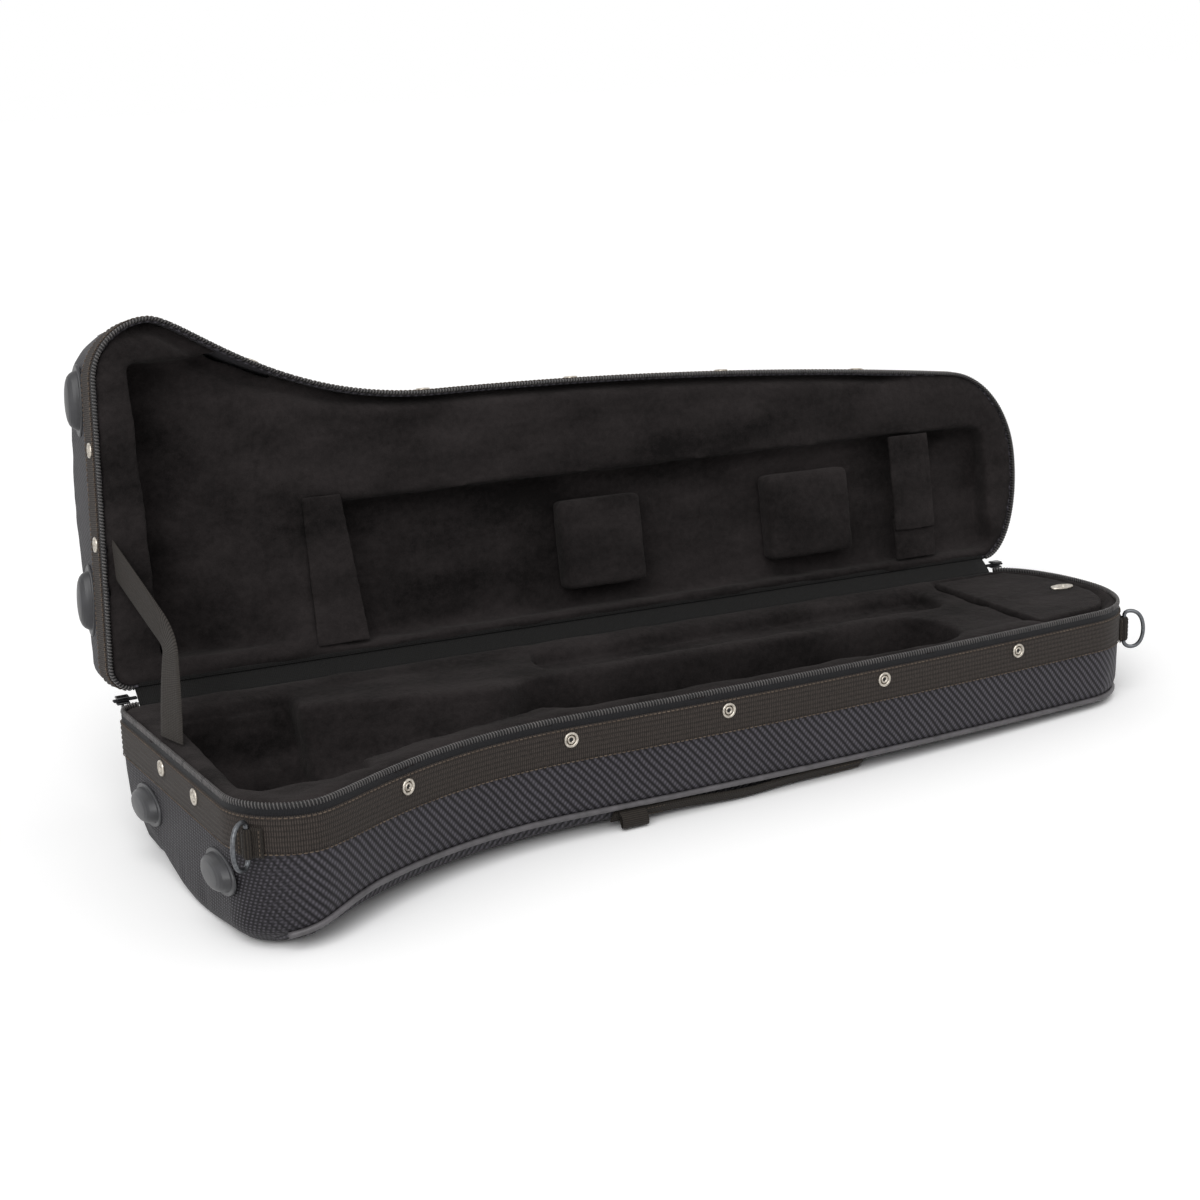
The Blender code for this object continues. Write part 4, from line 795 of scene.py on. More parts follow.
def strap_section(width, thick, ribs, height):
    """Section of webbing: lengthwise ribs on its outer face, worn round at both edges."""
    steps = ribs * 4
    section = []
    for step in range(steps + 1):
        t = step / steps
        edge = min(1.0, min(t, 1 - t) / EDGE_THIN_SHARE)
        rib = height * abs(math.sin(math.pi * ribs * t))
        section.append((width * (t - 0.5), thick * mix(EDGE_THICK_SHARE, 1.0, edge) + rib))
    return section + [(width / 2, 0), (-width / 2, 0)]


def tube(places, radius, resolution, closed=False):
    """Round rod through places in the room."""
    curve = bpy.data.curves.new("rod", "CURVE")
    curve.dimensions = "3D"
    curve.bevel_depth = radius
    curve.bevel_resolution = resolution
    curve.use_fill_caps = not closed
    spline = curve.splines.new("POLY")
    spline.points.add(len(places) - 1)
    for control, place in zip(spline.points, places):
        control.co = (*place, 1.0)
    spline.use_cyclic_u = closed
    rod = bpy.data.objects.new("rod", curve)
    bpy.context.scene.collection.objects.link(rod)
    mesh = bpy.data.meshes.new_from_object(rod.evaluated_get(bpy.context.evaluated_depsgraph_get()))
    bpy.data.objects.remove(rod)
    bm = bmesh.new()
    bm.from_mesh(mesh)
    bpy.data.meshes.remove(mesh)
    bmesh.ops.remove_doubles(bm, verts=bm.verts, dist=radius * 0.02)
    bmesh.ops.recalc_face_normals(bm, faces=bm.faces)
    return bm


def rounded_section(offset_a, offset_b, depth_a, depth_b, radius):
    """Rectangle of offsets and depths with rounded corners."""
    near, far = offset_a + radius, offset_b - radius
    high, low = depth_a + radius, depth_b - radius
    section = []
    for quarter, (offset, depth) in enumerate(((far, high), (far, low), (near, low), (near, high)), -1):
        for step in range(4):
            turn = math.pi / 2 * quarter + math.pi / 2 * step / 3
            section.append((offset + radius * math.cos(turn), depth + radius * math.sin(turn)))
    return section


def joined(target, source, matrix=None):
    """Adds a copy of one bmesh to another, turned and moved by the matrix."""
    mesh = bpy.data.meshes.new("joined")
    source.to_mesh(mesh)
    if matrix is not None:
        mesh.transform(matrix)
    target.from_mesh(mesh)
    bpy.data.meshes.remove(mesh)


def absorb(target, source):
    """Adds one bmesh to another and frees it."""
    joined(target, source)
    source.free()


def spun(profile, steps):
    """Closed ring turned round the out axis from radius and height pairs."""
    bm = bmesh.new()
    verts = [bm.verts.new((radius, 0, height)) for radius, height in profile]
    edges = [bm.edges.new((verts[i], verts[(i + 1) % len(verts)])) for i in range(len(verts))]
    bmesh.ops.spin(bm, geom=verts + edges, cent=(0, 0, 0), axis=(0, 0, 1), angle=math.tau, steps=steps,
                   use_merge=True, use_duplicate=False)
    bmesh.ops.remove_doubles(bm, verts=bm.verts, dist=0.00002)
    bmesh.ops.recalc_face_normals(bm, faces=bm.faces)
    return bm


def block(size, radius, matrix, segments=3):
    """Box with every edge rounded, turned and moved by the matrix."""
    bm = bmesh.new()
    bmesh.ops.create_cube(bm, size=1.0)
    bmesh.ops.scale(bm, vec=size, verts=bm.verts)
    bmesh.ops.bevel(bm, geom=list(bm.edges), offset=radius, segments=segments, profile=0.5, affect="EDGES",
                    material=-1)
    bmesh.ops.transform(bm, matrix=matrix, verts=bm.verts)
    return bm


def stitches(bm, places, away, pitch, length, radius):
    """Thread stitches laid end to end along a line of places, on a surface that faces away."""
    stitch = bmesh.new()
    bmesh.ops.create_uvsphere(stitch, u_segments=6, v_segments=4, radius=1.0)
    bmesh.ops.scale(stitch, vec=(radius, radius, length / 2), verts=stitch.verts)
    left = pitch / 2
    for number, (a, b) in enumerate(zip(places, places[1:])):
        way = b - a
        facing = away[number] if isinstance(away, list) else away
        while left <= way.length:
            along = way.normalized()
            side = along.cross(facing).normalized()
            turn = Matrix((side, along.cross(side), along)).transposed().to_4x4()
            turn.translation = a + along * left
            joined(bm, stitch, turn)
            left += pitch
        left -= way.length
    stitch.free()


def piece(name, bm, material, body, nodes=(), sharp=40):
    """Turns a bmesh in room coordinates into a piece that rides on a body and stands for CAD nodes."""
    mesh = bpy.data.meshes.new(name)
    bm.to_mesh(mesh)
    bm.free()
    mesh.shade_smooth()
    if sharp:
        mesh.set_sharp_from_angle(angle=math.radians(sharp))
    mesh.materials.append(material)
    made = bpy.data.objects.new(name, mesh)
    bpy.context.scene.collection.objects.link(made)
    if body:
        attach(made, body)
    if nodes:
        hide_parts(*nodes)
    return made


# Camera and room

def camera():
    """Camera at the photograph's place, solved against the case's own rim."""
    yaw, pitch, roll = (math.radians(angle) for angle in CAMERA_ANGLES)
    ahead = Vector((math.sin(yaw) * math.cos(pitch), math.cos(yaw) * math.cos(pitch), -math.sin(pitch)))
    level = Vector((math.cos(yaw), -math.sin(yaw), 0))
    lift = level.cross(ahead)
    right = level * math.cos(roll) + lift * math.sin(roll)
    up = lift * math.cos(roll) - level * math.sin(roll)
    turn = CASE_TURN @ Matrix((right, up, -ahead)).transposed()
    data = bpy.data.cameras.new("camera")
    data.lens = LENS_MM
    data.sensor_width = 36
    data.clip_end = 50
    made = bpy.data.objects.new("camera", data)
    made.matrix_world = Matrix.Translation(BASE.origin + CASE_TURN @ Vector(CAMERA_SPOT)) @ turn.to_4x4()
    bpy.context.scene.collection.objects.link(made)
    bpy.context.scene.camera = made


def light(name, kind, watts, turn, place=(0, 0, 0)):
    """A lamp that shines down its turned axis; its data is given back for its size or angle."""
    data = bpy.data.lights.new(name, kind)
    data.energy = watts
    made = bpy.data.objects.new(name, data)
    made.location = place
    made.rotation_euler = turn.to_euler()
    bpy.context.scene.collection.objects.link(made)
    return data


def seen_share(tree):
    """1 for rays that show the room to the eye, in metal or through clear parts."""
    path = add_node(tree, "LightPath")
    seen = add_node(tree, "Math", (path, path.node.outputs["Is Glossy Ray"]), operation="MAXIMUM")
    return add_node(tree, "Math", (seen, path.node.outputs["Is Transmission Ray"]), operation="MAXIMUM")


def room():
    """White sweep: a pale floor that keeps the shadow, and a world that shows white."""
    scene = bpy.context.scene
    scene.view_settings.view_transform = "Standard"
    world = bpy.data.worlds.new("room")
    scene.world = world
    world.use_nodes = True
    tree = world.node_tree
    tree.nodes.clear()
    lit = add_node(tree, "Background", {"Color": (1, 1, 1, 1), "Strength": 0.6})
    shown = add_node(tree, "Background", {"Color": (1, 1, 1, 1), "Strength": 1.0})
    both = add_node(tree, "MixShader", (seen_share(tree), lit, shown))
    tree.links.new(both, tree.nodes.new("ShaderNodeOutputWorld").inputs["Surface"])

    bm = bmesh.new()
    bmesh.ops.create_grid(bm, x_segments=1, y_segments=1, size=60.0)
    material = bpy.data.materials.new("pale floor")
    material.use_nodes = True
    tree = material.node_tree
    tree.nodes.clear()
    tones = {0: seen_share(tree), 6: (0.84, 0.84, 0.84, 1), 7: (1.15, 1.15, 1.15, 1)}
    tone = add_node(tree, "Mix", tones, data_type="RGBA").node.outputs[2]
    matte = add_node(tree, "BsdfDiffuse", {"Color": tone})
    tree.links.new(matte, tree.nodes.new("ShaderNodeOutputMaterial").inputs["Surface"])
    piece("floor", bm, material, None, sharp=0)

    window = light("window_light", "SUN", 1.35, Vector((-0.45, -0.75, 1.0)).to_track_quat("Z", "Y"))
    window.angle = math.radians(50)
    place = Vector((-1.9, -1.9, 1.3))
    aim = Vector((-0.1, 0, 0.15)) - place
    front = light("front_left", "AREA", 9, aim.to_track_quat("-Z", "Y"), place)
    front.size = 1.0


camera()
room()


# Shells

def profile_spots(half, point):
    """Spots and depths down the outside of a half at a rim point, from the rim to its flat underside."""
    piping_depth = half.piping(point.spot)
    end = near_end(point)
    across = min(max(point.spot.y / front_width(point.spot.x), 0.0), 1.0)
    flat = inward(point, mix(FLAT_SPINE_SHARE, FLAT_FRONT_SHARE, smooth(across)))
    rounded = out(point, -mix(ROUND_INSET, END_ROUND_INSET, end))
    belly = rounded.lerp(flat, BELLY_IN_SHARE)
    fall = half.floor(point.spot.x) - piping_depth
    start = piping_depth - mix(SIDE_STRAIGHT_ABOVE, END_STRAIGHT_ABOVE, end)
    low = -mix(PIPING_INSET, END_PIPING_INSET, end)
    pucker = noise.noise(Vector((point.far * PUCKERS_PER_M, 0.3, 0))) * PUCKER
    sag = noise.noise(Vector((point.far * SAGS_PER_M, 0.7, 0))) * SAG
    spots = []
    for step in range(13):
        t = step / 12
        near_seam = smooth((t - PUCKER_FROM_SHARE) / (1 - PUCKER_FROM_SHARE))
        swell = (SIDE_SWELL + sag) * math.sin(math.pi * t) + pucker * near_seam
        spots.append((out(point, swell), mix(SHELL_TOP, start, t)))
    for step in range(1, 7):
        t = step / 6
        turn = t * math.pi / 2
        inset = low * (1 - math.cos(turn)) + pucker * (1 - t)
        drop = mix(t, math.sin(turn), TURN_ROUNDNESS)
        spots.append((out(point, inset), mix(start, piping_depth, drop)))
    turns = [(out(point, low), piping_depth), (rounded, piping_depth + fall * ROUND_DROP_SHARE),
             (belly, piping_depth + fall * BELLY_DROP_SHARE), (flat, half.floor(flat.x))]
    for (spot_a, depth_a), (spot_b, depth_b) in zip(turns, turns[1:]):
        for step in range(1, 5):
            spots.append((spot_a.lerp(spot_b, step / 4), mix(depth_a, depth_b, step / 4)))
    return spots


def shell(half):
    """Board-stiffened shell: one wrap of twill round the side and a panel of it underneath."""
    columns = []
    for point in RIM:
        outside = profile_spots(half, point)
        inside = [(spot - point.out * SKIN, max(depth - SKIN, SKIN_TOP)) for spot, depth in reversed(outside)]
        columns.append([half.place(spot, depth) for spot, depth in inside + outside])
    rows = [list(row) for row in zip(*columns)]
    marks = [point.far for point in RIM] + [RIM[-1].far + (RIM[0].spot - RIM[-1].spot).length]
    bm = skin(rows, marks, closed=True, start_row=len(rows) // 2)
    uv = bm.loops.layers.uv["cloth"]
    for face in bm.faces:
        u, w, depth = half.local(face.calc_center_median())
        point = nearest_rim(u, w)[1]
        panel = near_end(point) < WRAP_END_SHARE or len(face.verts) > 4
        if panel and depth > half.piping(point.spot) + GAP:
            for loop in face.loops:
                spot = half.local(loop.vert.co)
                loop[uv].uv = (spot[0] + PANEL_MARK, spot[1])
    piece(half.name + "_twill_shell", bm, TWILL, half.name, [half.name + "_shell"], 50)


for half in (BASE, LID):
    shell(half)


# Rim trim

def band(half):
    """Webbing band with seven lengthwise ribs, sewn along both edges."""
    section = [(GAP + b, BAND_FROM + BAND_WIDTH / 2 + a)
               for a, b in strap_section(BAND_WIDTH, BAND_THICK, BAND_RIBS, BAND_RIB_HEIGHT)]
    piece(half.name + "_ribbed_band", swept(half, section, ZIP_RIM), BAND, half.name,
          [half.name + "_webbing_band"], 60)
    stitched = bmesh.new()
    for depth in (BAND_FROM + BAND_SEAM_INSETS[0], BAND_FROM + BAND_WIDTH - BAND_SEAM_INSETS[1]):
        places = [half.place(out(point, GAP + BAND_THICK + THREAD_RISE), depth) for point in ZIP_RIM]
        away = [(half.place(out(point, 1), depth) - half.place(point.spot, depth)).normalized()
                for point in ZIP_RIM]
        stitches(stitched, places, away, *BAND_STITCH)
    piece(half.name + "_band_stitching", stitched, THREAD, half.name, sharp=0)


def tape(half):
    """Edge of the zip tape that shows between the coil and the band."""
    section = rounded_section(GAP, GAP + TAPE_THICK, *TAPE_SPAN, TAPE_ROUND)
    piece(half.name + "_zip_tape_edge", swept(half, section, ZIP_RIM), TAPE, half.name,
          [half.name + "_zip_tape"], 60)


def walk(points, step):
    """Rim points a fixed step apart along a run of the rim."""
    found = []
    target = points[0].far
    for a, b in zip(points, points[1:]):
        while target <= b.far:
            found.append(between(a, b, (target - a.far) / (b.far - a.far)))
            target += step
    return found


def coil(half):
    """Spiral zip coil: flattened turns of nylon wire, a coil pitch apart, round a woven core coloured as
    painted shade of the gap inside the coil.
    """
    places = []
    for number, point in enumerate(walk(ZIP_RIM, COIL_PITCH / COIL_TURN_STEPS)):
        turn = math.tau * number / COIL_TURN_STEPS
        across = math.copysign(abs(math.cos(turn)) ** COIL_FLATNESS, math.cos(turn))
        offset = across * (COIL_HALF_WIDTH - COIL_WIRE)
        depth = COIL_HALF_HEIGHT + GAP + math.sin(turn) * (COIL_HALF_HEIGHT - COIL_WIRE)
        places.append(half.place(out(point, offset), depth))
    piece(half.name + "_spiral_coil", tube(places, COIL_WIRE, 1), NYLON, half.name,
          [half.name + "_zip_coil"], 0)
    # The core is near black: painted shade in the gap between the turns
    core = rounded_section(-CORE_HALF_WIDTH, CORE_HALF_WIDTH, *CORE_SPAN, CORE_ROUND)
    piece(half.name + "_coil_core", swept(half, core, ZIP_RIM), SHADE, half.name, sharp=60)


def piping(half):
    """Vinyl piping in the seam between the side and the underside."""
    places = []
    for point in RIM:
        if point.arc in (CORNER_ARC, WALL_ARC):
            continue
        if point.arc == FRONT_CORNER_ARC and point.spot.x < PIPING_ENDS_AT:
            continue
        inset = PIPING_CENTRE_INSET + mix(0, END_PIPING_INSET - PIPING_INSET, near_end(point))
        places.append(half.place(out(point, -inset), half.piping(point.spot)))
    piece(half.name + "_vinyl_piping", tube(places, PIPING_RADIUS, 4), PIPING, half.name,
          [half.name + "_piping"], 0)


def spine_binding(half):
    """Cloth binding folded over the edge of the shell along the hinge."""
    section = rounded_section(-BINDING_INSIDE, GAP, *BINDING_SPAN, BINDING_ROUND)
    piece(half.name + "_spine_binding", swept(half, section, HINGE_RIM), GUSSET, half.name,
          sharp=60)


for half in (BASE, LID):
    band(half)
    tape(half)
    coil(half)
    piping(half)
    spine_binding(half)


# Rivets and domed feet

def dark_hole(name, body, turn, radius, segments):
    """Near-black disc of painted shade that shows as the depth of a hole."""
    bm = bmesh.new()
    bmesh.ops.create_cone(bm, cap_ends=True, segments=segments, radius1=radius, radius2=radius,
                          depth=HOLE_DISC)
    bmesh.ops.transform(bm, matrix=turn @ Matrix.Translation((0, 0, HOLE_RISE)), verts=bm.verts)
    piece(name, bm, SHADE, body, sharp=30)


def rivet(half, number, kind, point):
    """Hollow rivet: a rolled outer ring, a groove, and the peened inner ring round a dark hole."""
    bm = bmesh.new()
    for profile in (RIVET_RING, RIVET_EYE):
        absorb(bm, spun(profile, 28))
    turn = half.wall_frame(point, GAP + BAND_THICK + GAP, RIVET_DEPTH)
    bmesh.ops.transform(bm, matrix=turn, verts=bm.verts)
    name = "%s_%s_rivet_%d" % (half.name, kind, number)
    piece(name + "_rings", bm, NICKEL, half.name, [name], 50)
    dark_hole(name + "_hole", half.name, turn, RIVET_HOLE, 20)


def end_foot(half, number, point):
    """Moulded oval foot: thin flange with a raised lip, and a dome."""
    bm = bmesh.new()
    bmesh.ops.create_circle(bm, cap_ends=True, segments=48, radius=0.5)
    bmesh.ops.scale(bm, vec=(*END_FOOT_SIZE, 1), verts=bm.verts)
    face = bm.faces[:][0]
    before = FOOT_STAGES[0]
    for scale, height in FOOT_STAGES[1:]:
        grown = bmesh.ops.extrude_face_region(bm, geom=[face])["geom"]
        verts = [item for item in grown if isinstance(item, bmesh.types.BMVert)]
        face = next(item for item in grown if isinstance(item, bmesh.types.BMFace))
        bmesh.ops.scale(bm, vec=(scale / before[0], scale / before[0], 1), verts=verts)
        bmesh.ops.translate(bm, vec=(0, 0, height - before[1]), verts=verts)
        before = (scale, height)
    bmesh.ops.holes_fill(bm, edges=[edge for edge in bm.edges if edge.is_boundary], sides=0)
    bmesh.ops.recalc_face_normals(bm, faces=bm.faces)
    bmesh.ops.transform(bm, matrix=half.wall_frame(point, GAP, END_FOOT_DEPTH), verts=bm.verts)
    node = "%s_end_foot_%d" % (half.name, number)
    piece(node + "_dome", bm, RUBBER, half.name, [node], 60)


for half in (BASE, LID):
    for number, share in enumerate(FRONT_RIVET_SHARES, 1):
        rivet(half, number, "front", front_point(CASE_LENGTH * share))
    for number, share in enumerate(END_RIVET_SHARES, 1):
        rivet(half, number, "end", end_point(BELL_WIDTH * share))
    for number, share in enumerate(END_FOOT_SHARES, 1):
        end_foot(half, number, end_point(BELL_WIDTH * share))


# D-rings, their tabs and the grab handle

def arc_point(arc, t):
    spot, along = cubic(ARCS[arc], t)
    return RimPoint(spot, Vector((-along.y, along.x)), arc, 0.0)


def ring_tab(name, point):
    """Webbing tab: sewn flat at both sides, its middle folded round the bar of the ring."""
    turn = BASE.wall_frame(point, GAP + BAND_THICK + GAP, RING_DEPTH)
    spin = turn.to_3x3()
    loop = RING_WIRE + RING_PLAY + TAB_THICK / 2
    centre = TAB_THICK + RING_PLAY + RING_WIRE
    path = [Vector((-along, TAB_THICK / 2 + lift)) for along, lift in TAB_SIDE]
    for step in range(13):
        angle = math.radians(mix(*TAB_LOOP_DEGREES, step / 12))
        path.append(Vector((loop * math.cos(angle), centre + loop * math.sin(angle))))
    path += [Vector((along, TAB_THICK / 2 + lift)) for along, lift in reversed(TAB_SIDE)]
    frames = []
    for place, ahead in headings(path):
        way = Vector((ahead.x, 0, ahead.y)).normalized()
        frames.append((turn @ Vector((place.x, 0, place.y)), spin @ Vector((0, 1, 0)),
                       spin @ Vector((-way.z, 0, way.x))))
    section = [(a, b - TAB_THICK / 2) for a, b in strap_section(TAB_HEIGHT, TAB_THICK, 6, RIB_HEIGHT)]
    piece(name + "_ring_tab_webbing", ribbon(frames, section), STRAP, "base", [name + "_ring_tab"],
          50)
    stitched = bmesh.new()
    for along in (-TAB_SEAM_AT, TAB_SEAM_AT):
        line = [turn @ Vector((along, up, TAB_THICK + THREAD_RISE)) for up in (-TAB_SEAM_HALF, TAB_SEAM_HALF)]
        stitches(stitched, line, spin @ Vector((0, 0, 1)), *TAB_STITCH)
    piece(name + "_ring_tab_stitching", stitched, THREAD, "base", sharp=0)
    return turn @ Matrix.Translation((0, 0, centre))


def d_ring(name, body, turn):
    """Wire D-ring with softly bent corners on its upright bar."""
    half_height = RING_HEIGHT / 2
    shape = [(0.0, (half_height - RING_WIRE) * (1 - step / 10)) for step in range(20)]
    for step in range(41):
        angle = math.pi * step / 40
        bulge = RING_WIRE + (RING_BULGE - RING_WIRE) * math.sin(angle) ** RING_SQUARENESS
        shape.append((bulge, -half_height * math.cos(angle)))
    for _ in range(3):
        after = shape[1:] + shape[:1]
        shape = [((a[0] + b[0] * 2 + c[0]) / 4, (a[1] + b[1] * 2 + c[1]) / 4)
                 for a, b, c in zip([shape[-1]] + shape, shape, after)]
    places = [turn @ Vector((0, up, outward)) for outward, up in shape]
    bm = tube(places, RING_WIRE, 4, closed=True)
    piece(name + "_wire", bm, GUNMETAL, body, [name], 0)


def grab_handle():
    """Webbing grab handle of two layers, sewn flat at both ends and standing off between them."""
    points = [arc_point(TAIL_ARC, mix(GRAB_FROM_SHARE, 1.0, step / 20)) for step in range(20)]
    points += [arc_point(TAIL_HINGE_ARC, GRAB_TO_SHARE * step / 28) for step in range(29)]
    middle = BAND_FROM + BAND_WIDTH / 2
    frames = []
    for number, point in enumerate(points):
        t = number / (len(points) - 1)
        free = smooth(min(t, 1 - t) / GRAB_SEWN_SHARE - 1)
        stand = GAP + BAND_THICK + GAP + GRAB_BULGE * free * math.sin(math.pi * t)
        spot = BASE.place(out(point, stand), middle)
        outward = (BASE.place(out(point, stand + 1), middle) - spot).normalized()
        frames.append((spot, -(CASE_TURN @ Vector((0, 0, 1))), outward))
    for layer, nodes in enumerate((["narrow_end_grab_handle"], [])):
        low = GRAB_LAYER_RISE * layer
        section = [(a, b + low) for a, b in strap_section(GRAB_WIDTH, GRAB_THICK, 8, GRAB_RIB_HEIGHT)]
        piece("grab_handle_layer_%d" % (layer + 1), ribbon(frames, section), STRAP, "base", nodes,
              50)
    stitched = bmesh.new()
    for side in (-1, 1):
        aside = side * (GRAB_WIDTH / 2 - GRAB_SEAM_INSET)
        line = [spot + across * aside + away * GRAB_SEAM_RISE for spot, across, away in frames]
        stitches(stitched, line, [away for _, _, away in frames], *GRAB_STITCH)
    piece("grab_handle_stitching", stitched, THREAD, "base", sharp=0)


for end, body, arc, t in (("bell_end", "bell_ring", FRONT_CORNER_ARC, BELL_RING_SHARE),
                          ("narrow_end", "narrow_ring", TAIL_ARC, NARROW_RING_SHARE)):
    d_ring(end + "_d_ring", body, ring_tab(end, arc_point(arc, t)))
grab_handle()


# Carry handles

def slope_frame(half, u, down_by=0.0, away_by=0.0):
    """Frame on the rounded underside next to the front piping: spot, down the slope, away from it."""
    point = front_point(u)
    seam = half.piping(point.spot)
    fall = half.floor(point.spot.x) - seam
    down = Vector((PIPING_INSET - ROUND_INSET, fall * ROUND_DROP_SHARE)).normalized()
    away = Vector((down.y, -down.x))
    start = Vector((-PIPING_INSET, seam)) + down * (PIPING_RADIUS + down_by) + away * away_by
    spot = half.place(out(point, start.x), start.y)
    return (spot, half.place(out(point, start.x + down.x), start.y + down.y) - spot,
            half.place(out(point, start.x + away.x), start.y + away.y) - spot)


def carry_handle(half):
    """Webbing carry handle, sewn down through two patches and slack between them."""
    sewn_from = [CASE_LENGTH * share for share in ANCHOR_FROM_SHARES]
    patch = strap_section(ANCHOR_WIDTH, ANCHOR_THICK, 4, RIB_HEIGHT)
    for number, start in enumerate(sewn_from, 1):
        stations = [start + ANCHOR_LENGTH * step / 12 for step in range(13)]
        frames = [slope_frame(half, u, ANCHOR_WIDTH / 2, GAP) for u in stations]
        node = "%s_handle_anchor_%d" % (half.name, number)
        piece(node + "_patch", ribbon(frames, patch), STRAP, half.name, [node], 50)
    frames = []
    stations = [mix(HANDLE_FROM, HANDLE_TO, step / 72) for step in range(73)]
    for number, u in enumerate(stations):
        t = number / (len(stations) - 1)
        slack = math.sin(math.pi * smooth((t - SLACK_SPAN_SHARES[0]) / SLACK_SPAN_SHARES[1])) ** 2
        rise = HANDLE_RISE + HANDLE_SLACK * slack
        frames.append(slope_frame(half, u, (HANDLE_WIDTH + HANDLE_CLEAR) / 2, rise))
    node = half.name + "_carry_handle"
    section = strap_section(HANDLE_WIDTH - HANDLE_CLEAR, HANDLE_THICK, 4, RIB_HEIGHT)
    # The strap is made as two halves that meet at its middle
    middle = len(frames) // 2
    for end, part, sewn, free in (("bell", frames[:middle + 1], sewn_from[0] + ANCHOR_LENGTH, HANDLE_TURN),
                                  ("tail", frames[middle:], sewn_from[1], -HANDLE_TURN)):
        made = piece("%s_strap_%s_half" % (node, end), ribbon(part, section), STRAP, None, [node],
                     50)
        tuple(slope_frame(half, sewn)[0])
        tuple(slope_frame(half, sewn + free)[0])
        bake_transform(made)
    stitched = bmesh.new()
    for start in sewn_from:
        stations = [start + ANCHOR_LENGTH * step / 8 for step in range(9)]
        for down in (HANDLE_CLEAR + HANDLE_SEAM_INSETS[0], HANDLE_WIDTH - HANDLE_SEAM_INSETS[1]):
            line = [slope_frame(half, u, down, HANDLE_RISE * 2) for u in stations]
            stitches(stitched, [frame[0] for frame in line], line[0][2].normalized(), *HANDLE_STITCH)
    piece(node + "_stitching", stitched, THREAD, half.name, sharp=0)
    if not half.lid:
        fold_of_handle(half)


def fold_of_handle(half):
    """The slack end of the lower handle: the strap folds over and its fold hangs to the floor."""
    point = front_point(HANDLE_FROM + FOLD_AT)
    depth = half.piping(point.spot)
    seam = half.place(point.spot, depth)
    drop = half.local(Vector((seam.x, seam.y, FOLD_OFF_FLOOR)))[2] - depth
    path = [Vector((offset, depth + fall)) for offset, fall in FOLD_TOP]
    path += [Vector((offset, depth + drop * share)) for offset, share in FOLD_HANG_SHARES]
    along = (front_point(HANDLE_FROM + FOLD_ALONG).spot - front_point(HANDLE_FROM).spot).normalized()
    across = (half.place(point.spot + along, 0) - half.place(point.spot, 0)).normalized()
    fine = smooth_line(path, 5)
    frames = []
    for number, (place, ahead) in enumerate(headings(fine)):
        aside = along * (FOLD_SKEW * number / (len(fine) - 1))
        way = (half.place(out(point, ahead.x), ahead.y) - half.place(point.spot, 0)).normalized()
        frames.append((half.place(out(point, place.x) + aside, place.y), across, across.cross(way)))
    section = strap_section(FOLD_WIDTH, FOLD_THICK, 7, RIB_HEIGHT)
    made = piece("carry_strap_fold", ribbon(frames, section), STRAP, None,
                 sharp=50)
    start, end = (half.place(point.spot, depth + fall) for fall in FOLD_TURN)
    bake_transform(made)


def smooth_line(points, steps):
    """Points on a smooth curve through the given ones."""
    fine = []
    for number in range(len(points) - 1):
        a = points[max(number - 1, 0)]
        b, c = points[number], points[number + 1]
        d = points[min(number + 2, len(points) - 1)]
        for step in range(steps):
            t = step / steps
            fine.append((b * 2 + (c - a) * t + (a * 2 - b * 5 + c * 4 - d) * t ** 2
                         + (b * 3 - a - c * 3 + d) * t ** 3) / 2)
    return fine + [points[-1]]


for half in (BASE, LID):
    carry_handle(half)


# Fabric spine hinge, stay strap and zip ends

def spine_hinge():
    """Cloth gusset between the two spine walls, with a leg sewn down each of them."""
    line = [BASE.place((0, -GUSSET_INSET), SHELL_TOP + SPINE_LEG), BASE.place((0, -GUSSET_INSET), SHELL_TOP),
            LID.place((0, -GUSSET_INSET), SHELL_TOP), LID.place((0, -GUSSET_INSET), SHELL_TOP + SPINE_LEG)]
    rise = (line[1] - line[0]).normalized()
    fall = (line[2] - line[3]).normalized()
    reach = (line[2] - line[1]).length * GUSSET_REACH_SHARE
    bend = (line[1], line[1] + rise * reach, line[2] + fall * reach, line[2])
    path = [line[0], line[0].lerp(line[1], 0.5)]
    path += [cubic(bend, step / 12)[0] for step in range(13)]
    path += [line[2].lerp(line[3], 0.5), line[3]]
    first, last = HINGE_CORNER + RIM_GAP, CASE_LENGTH - TAIL_HINGE_ROUND - RIM_GAP
    stations = [mix(first, last, step / 60) for step in range(61)]
    rows = [(place, CASE_X.cross(way).normalized()) for place, way in headings(path)]
    loops = []
    for side, order in ((GUSSET_THICK / 2, rows), (-GUSSET_THICK / 2, rows[::-1])):
        for place, away in order:
            loops.append([place + CASE_X * u + away * side for u in stations])
    made = piece("spine_gusset", wrapped(loops), GUSSET, None, ["spine_hinge_fabric"],
                 0)
    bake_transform(made)


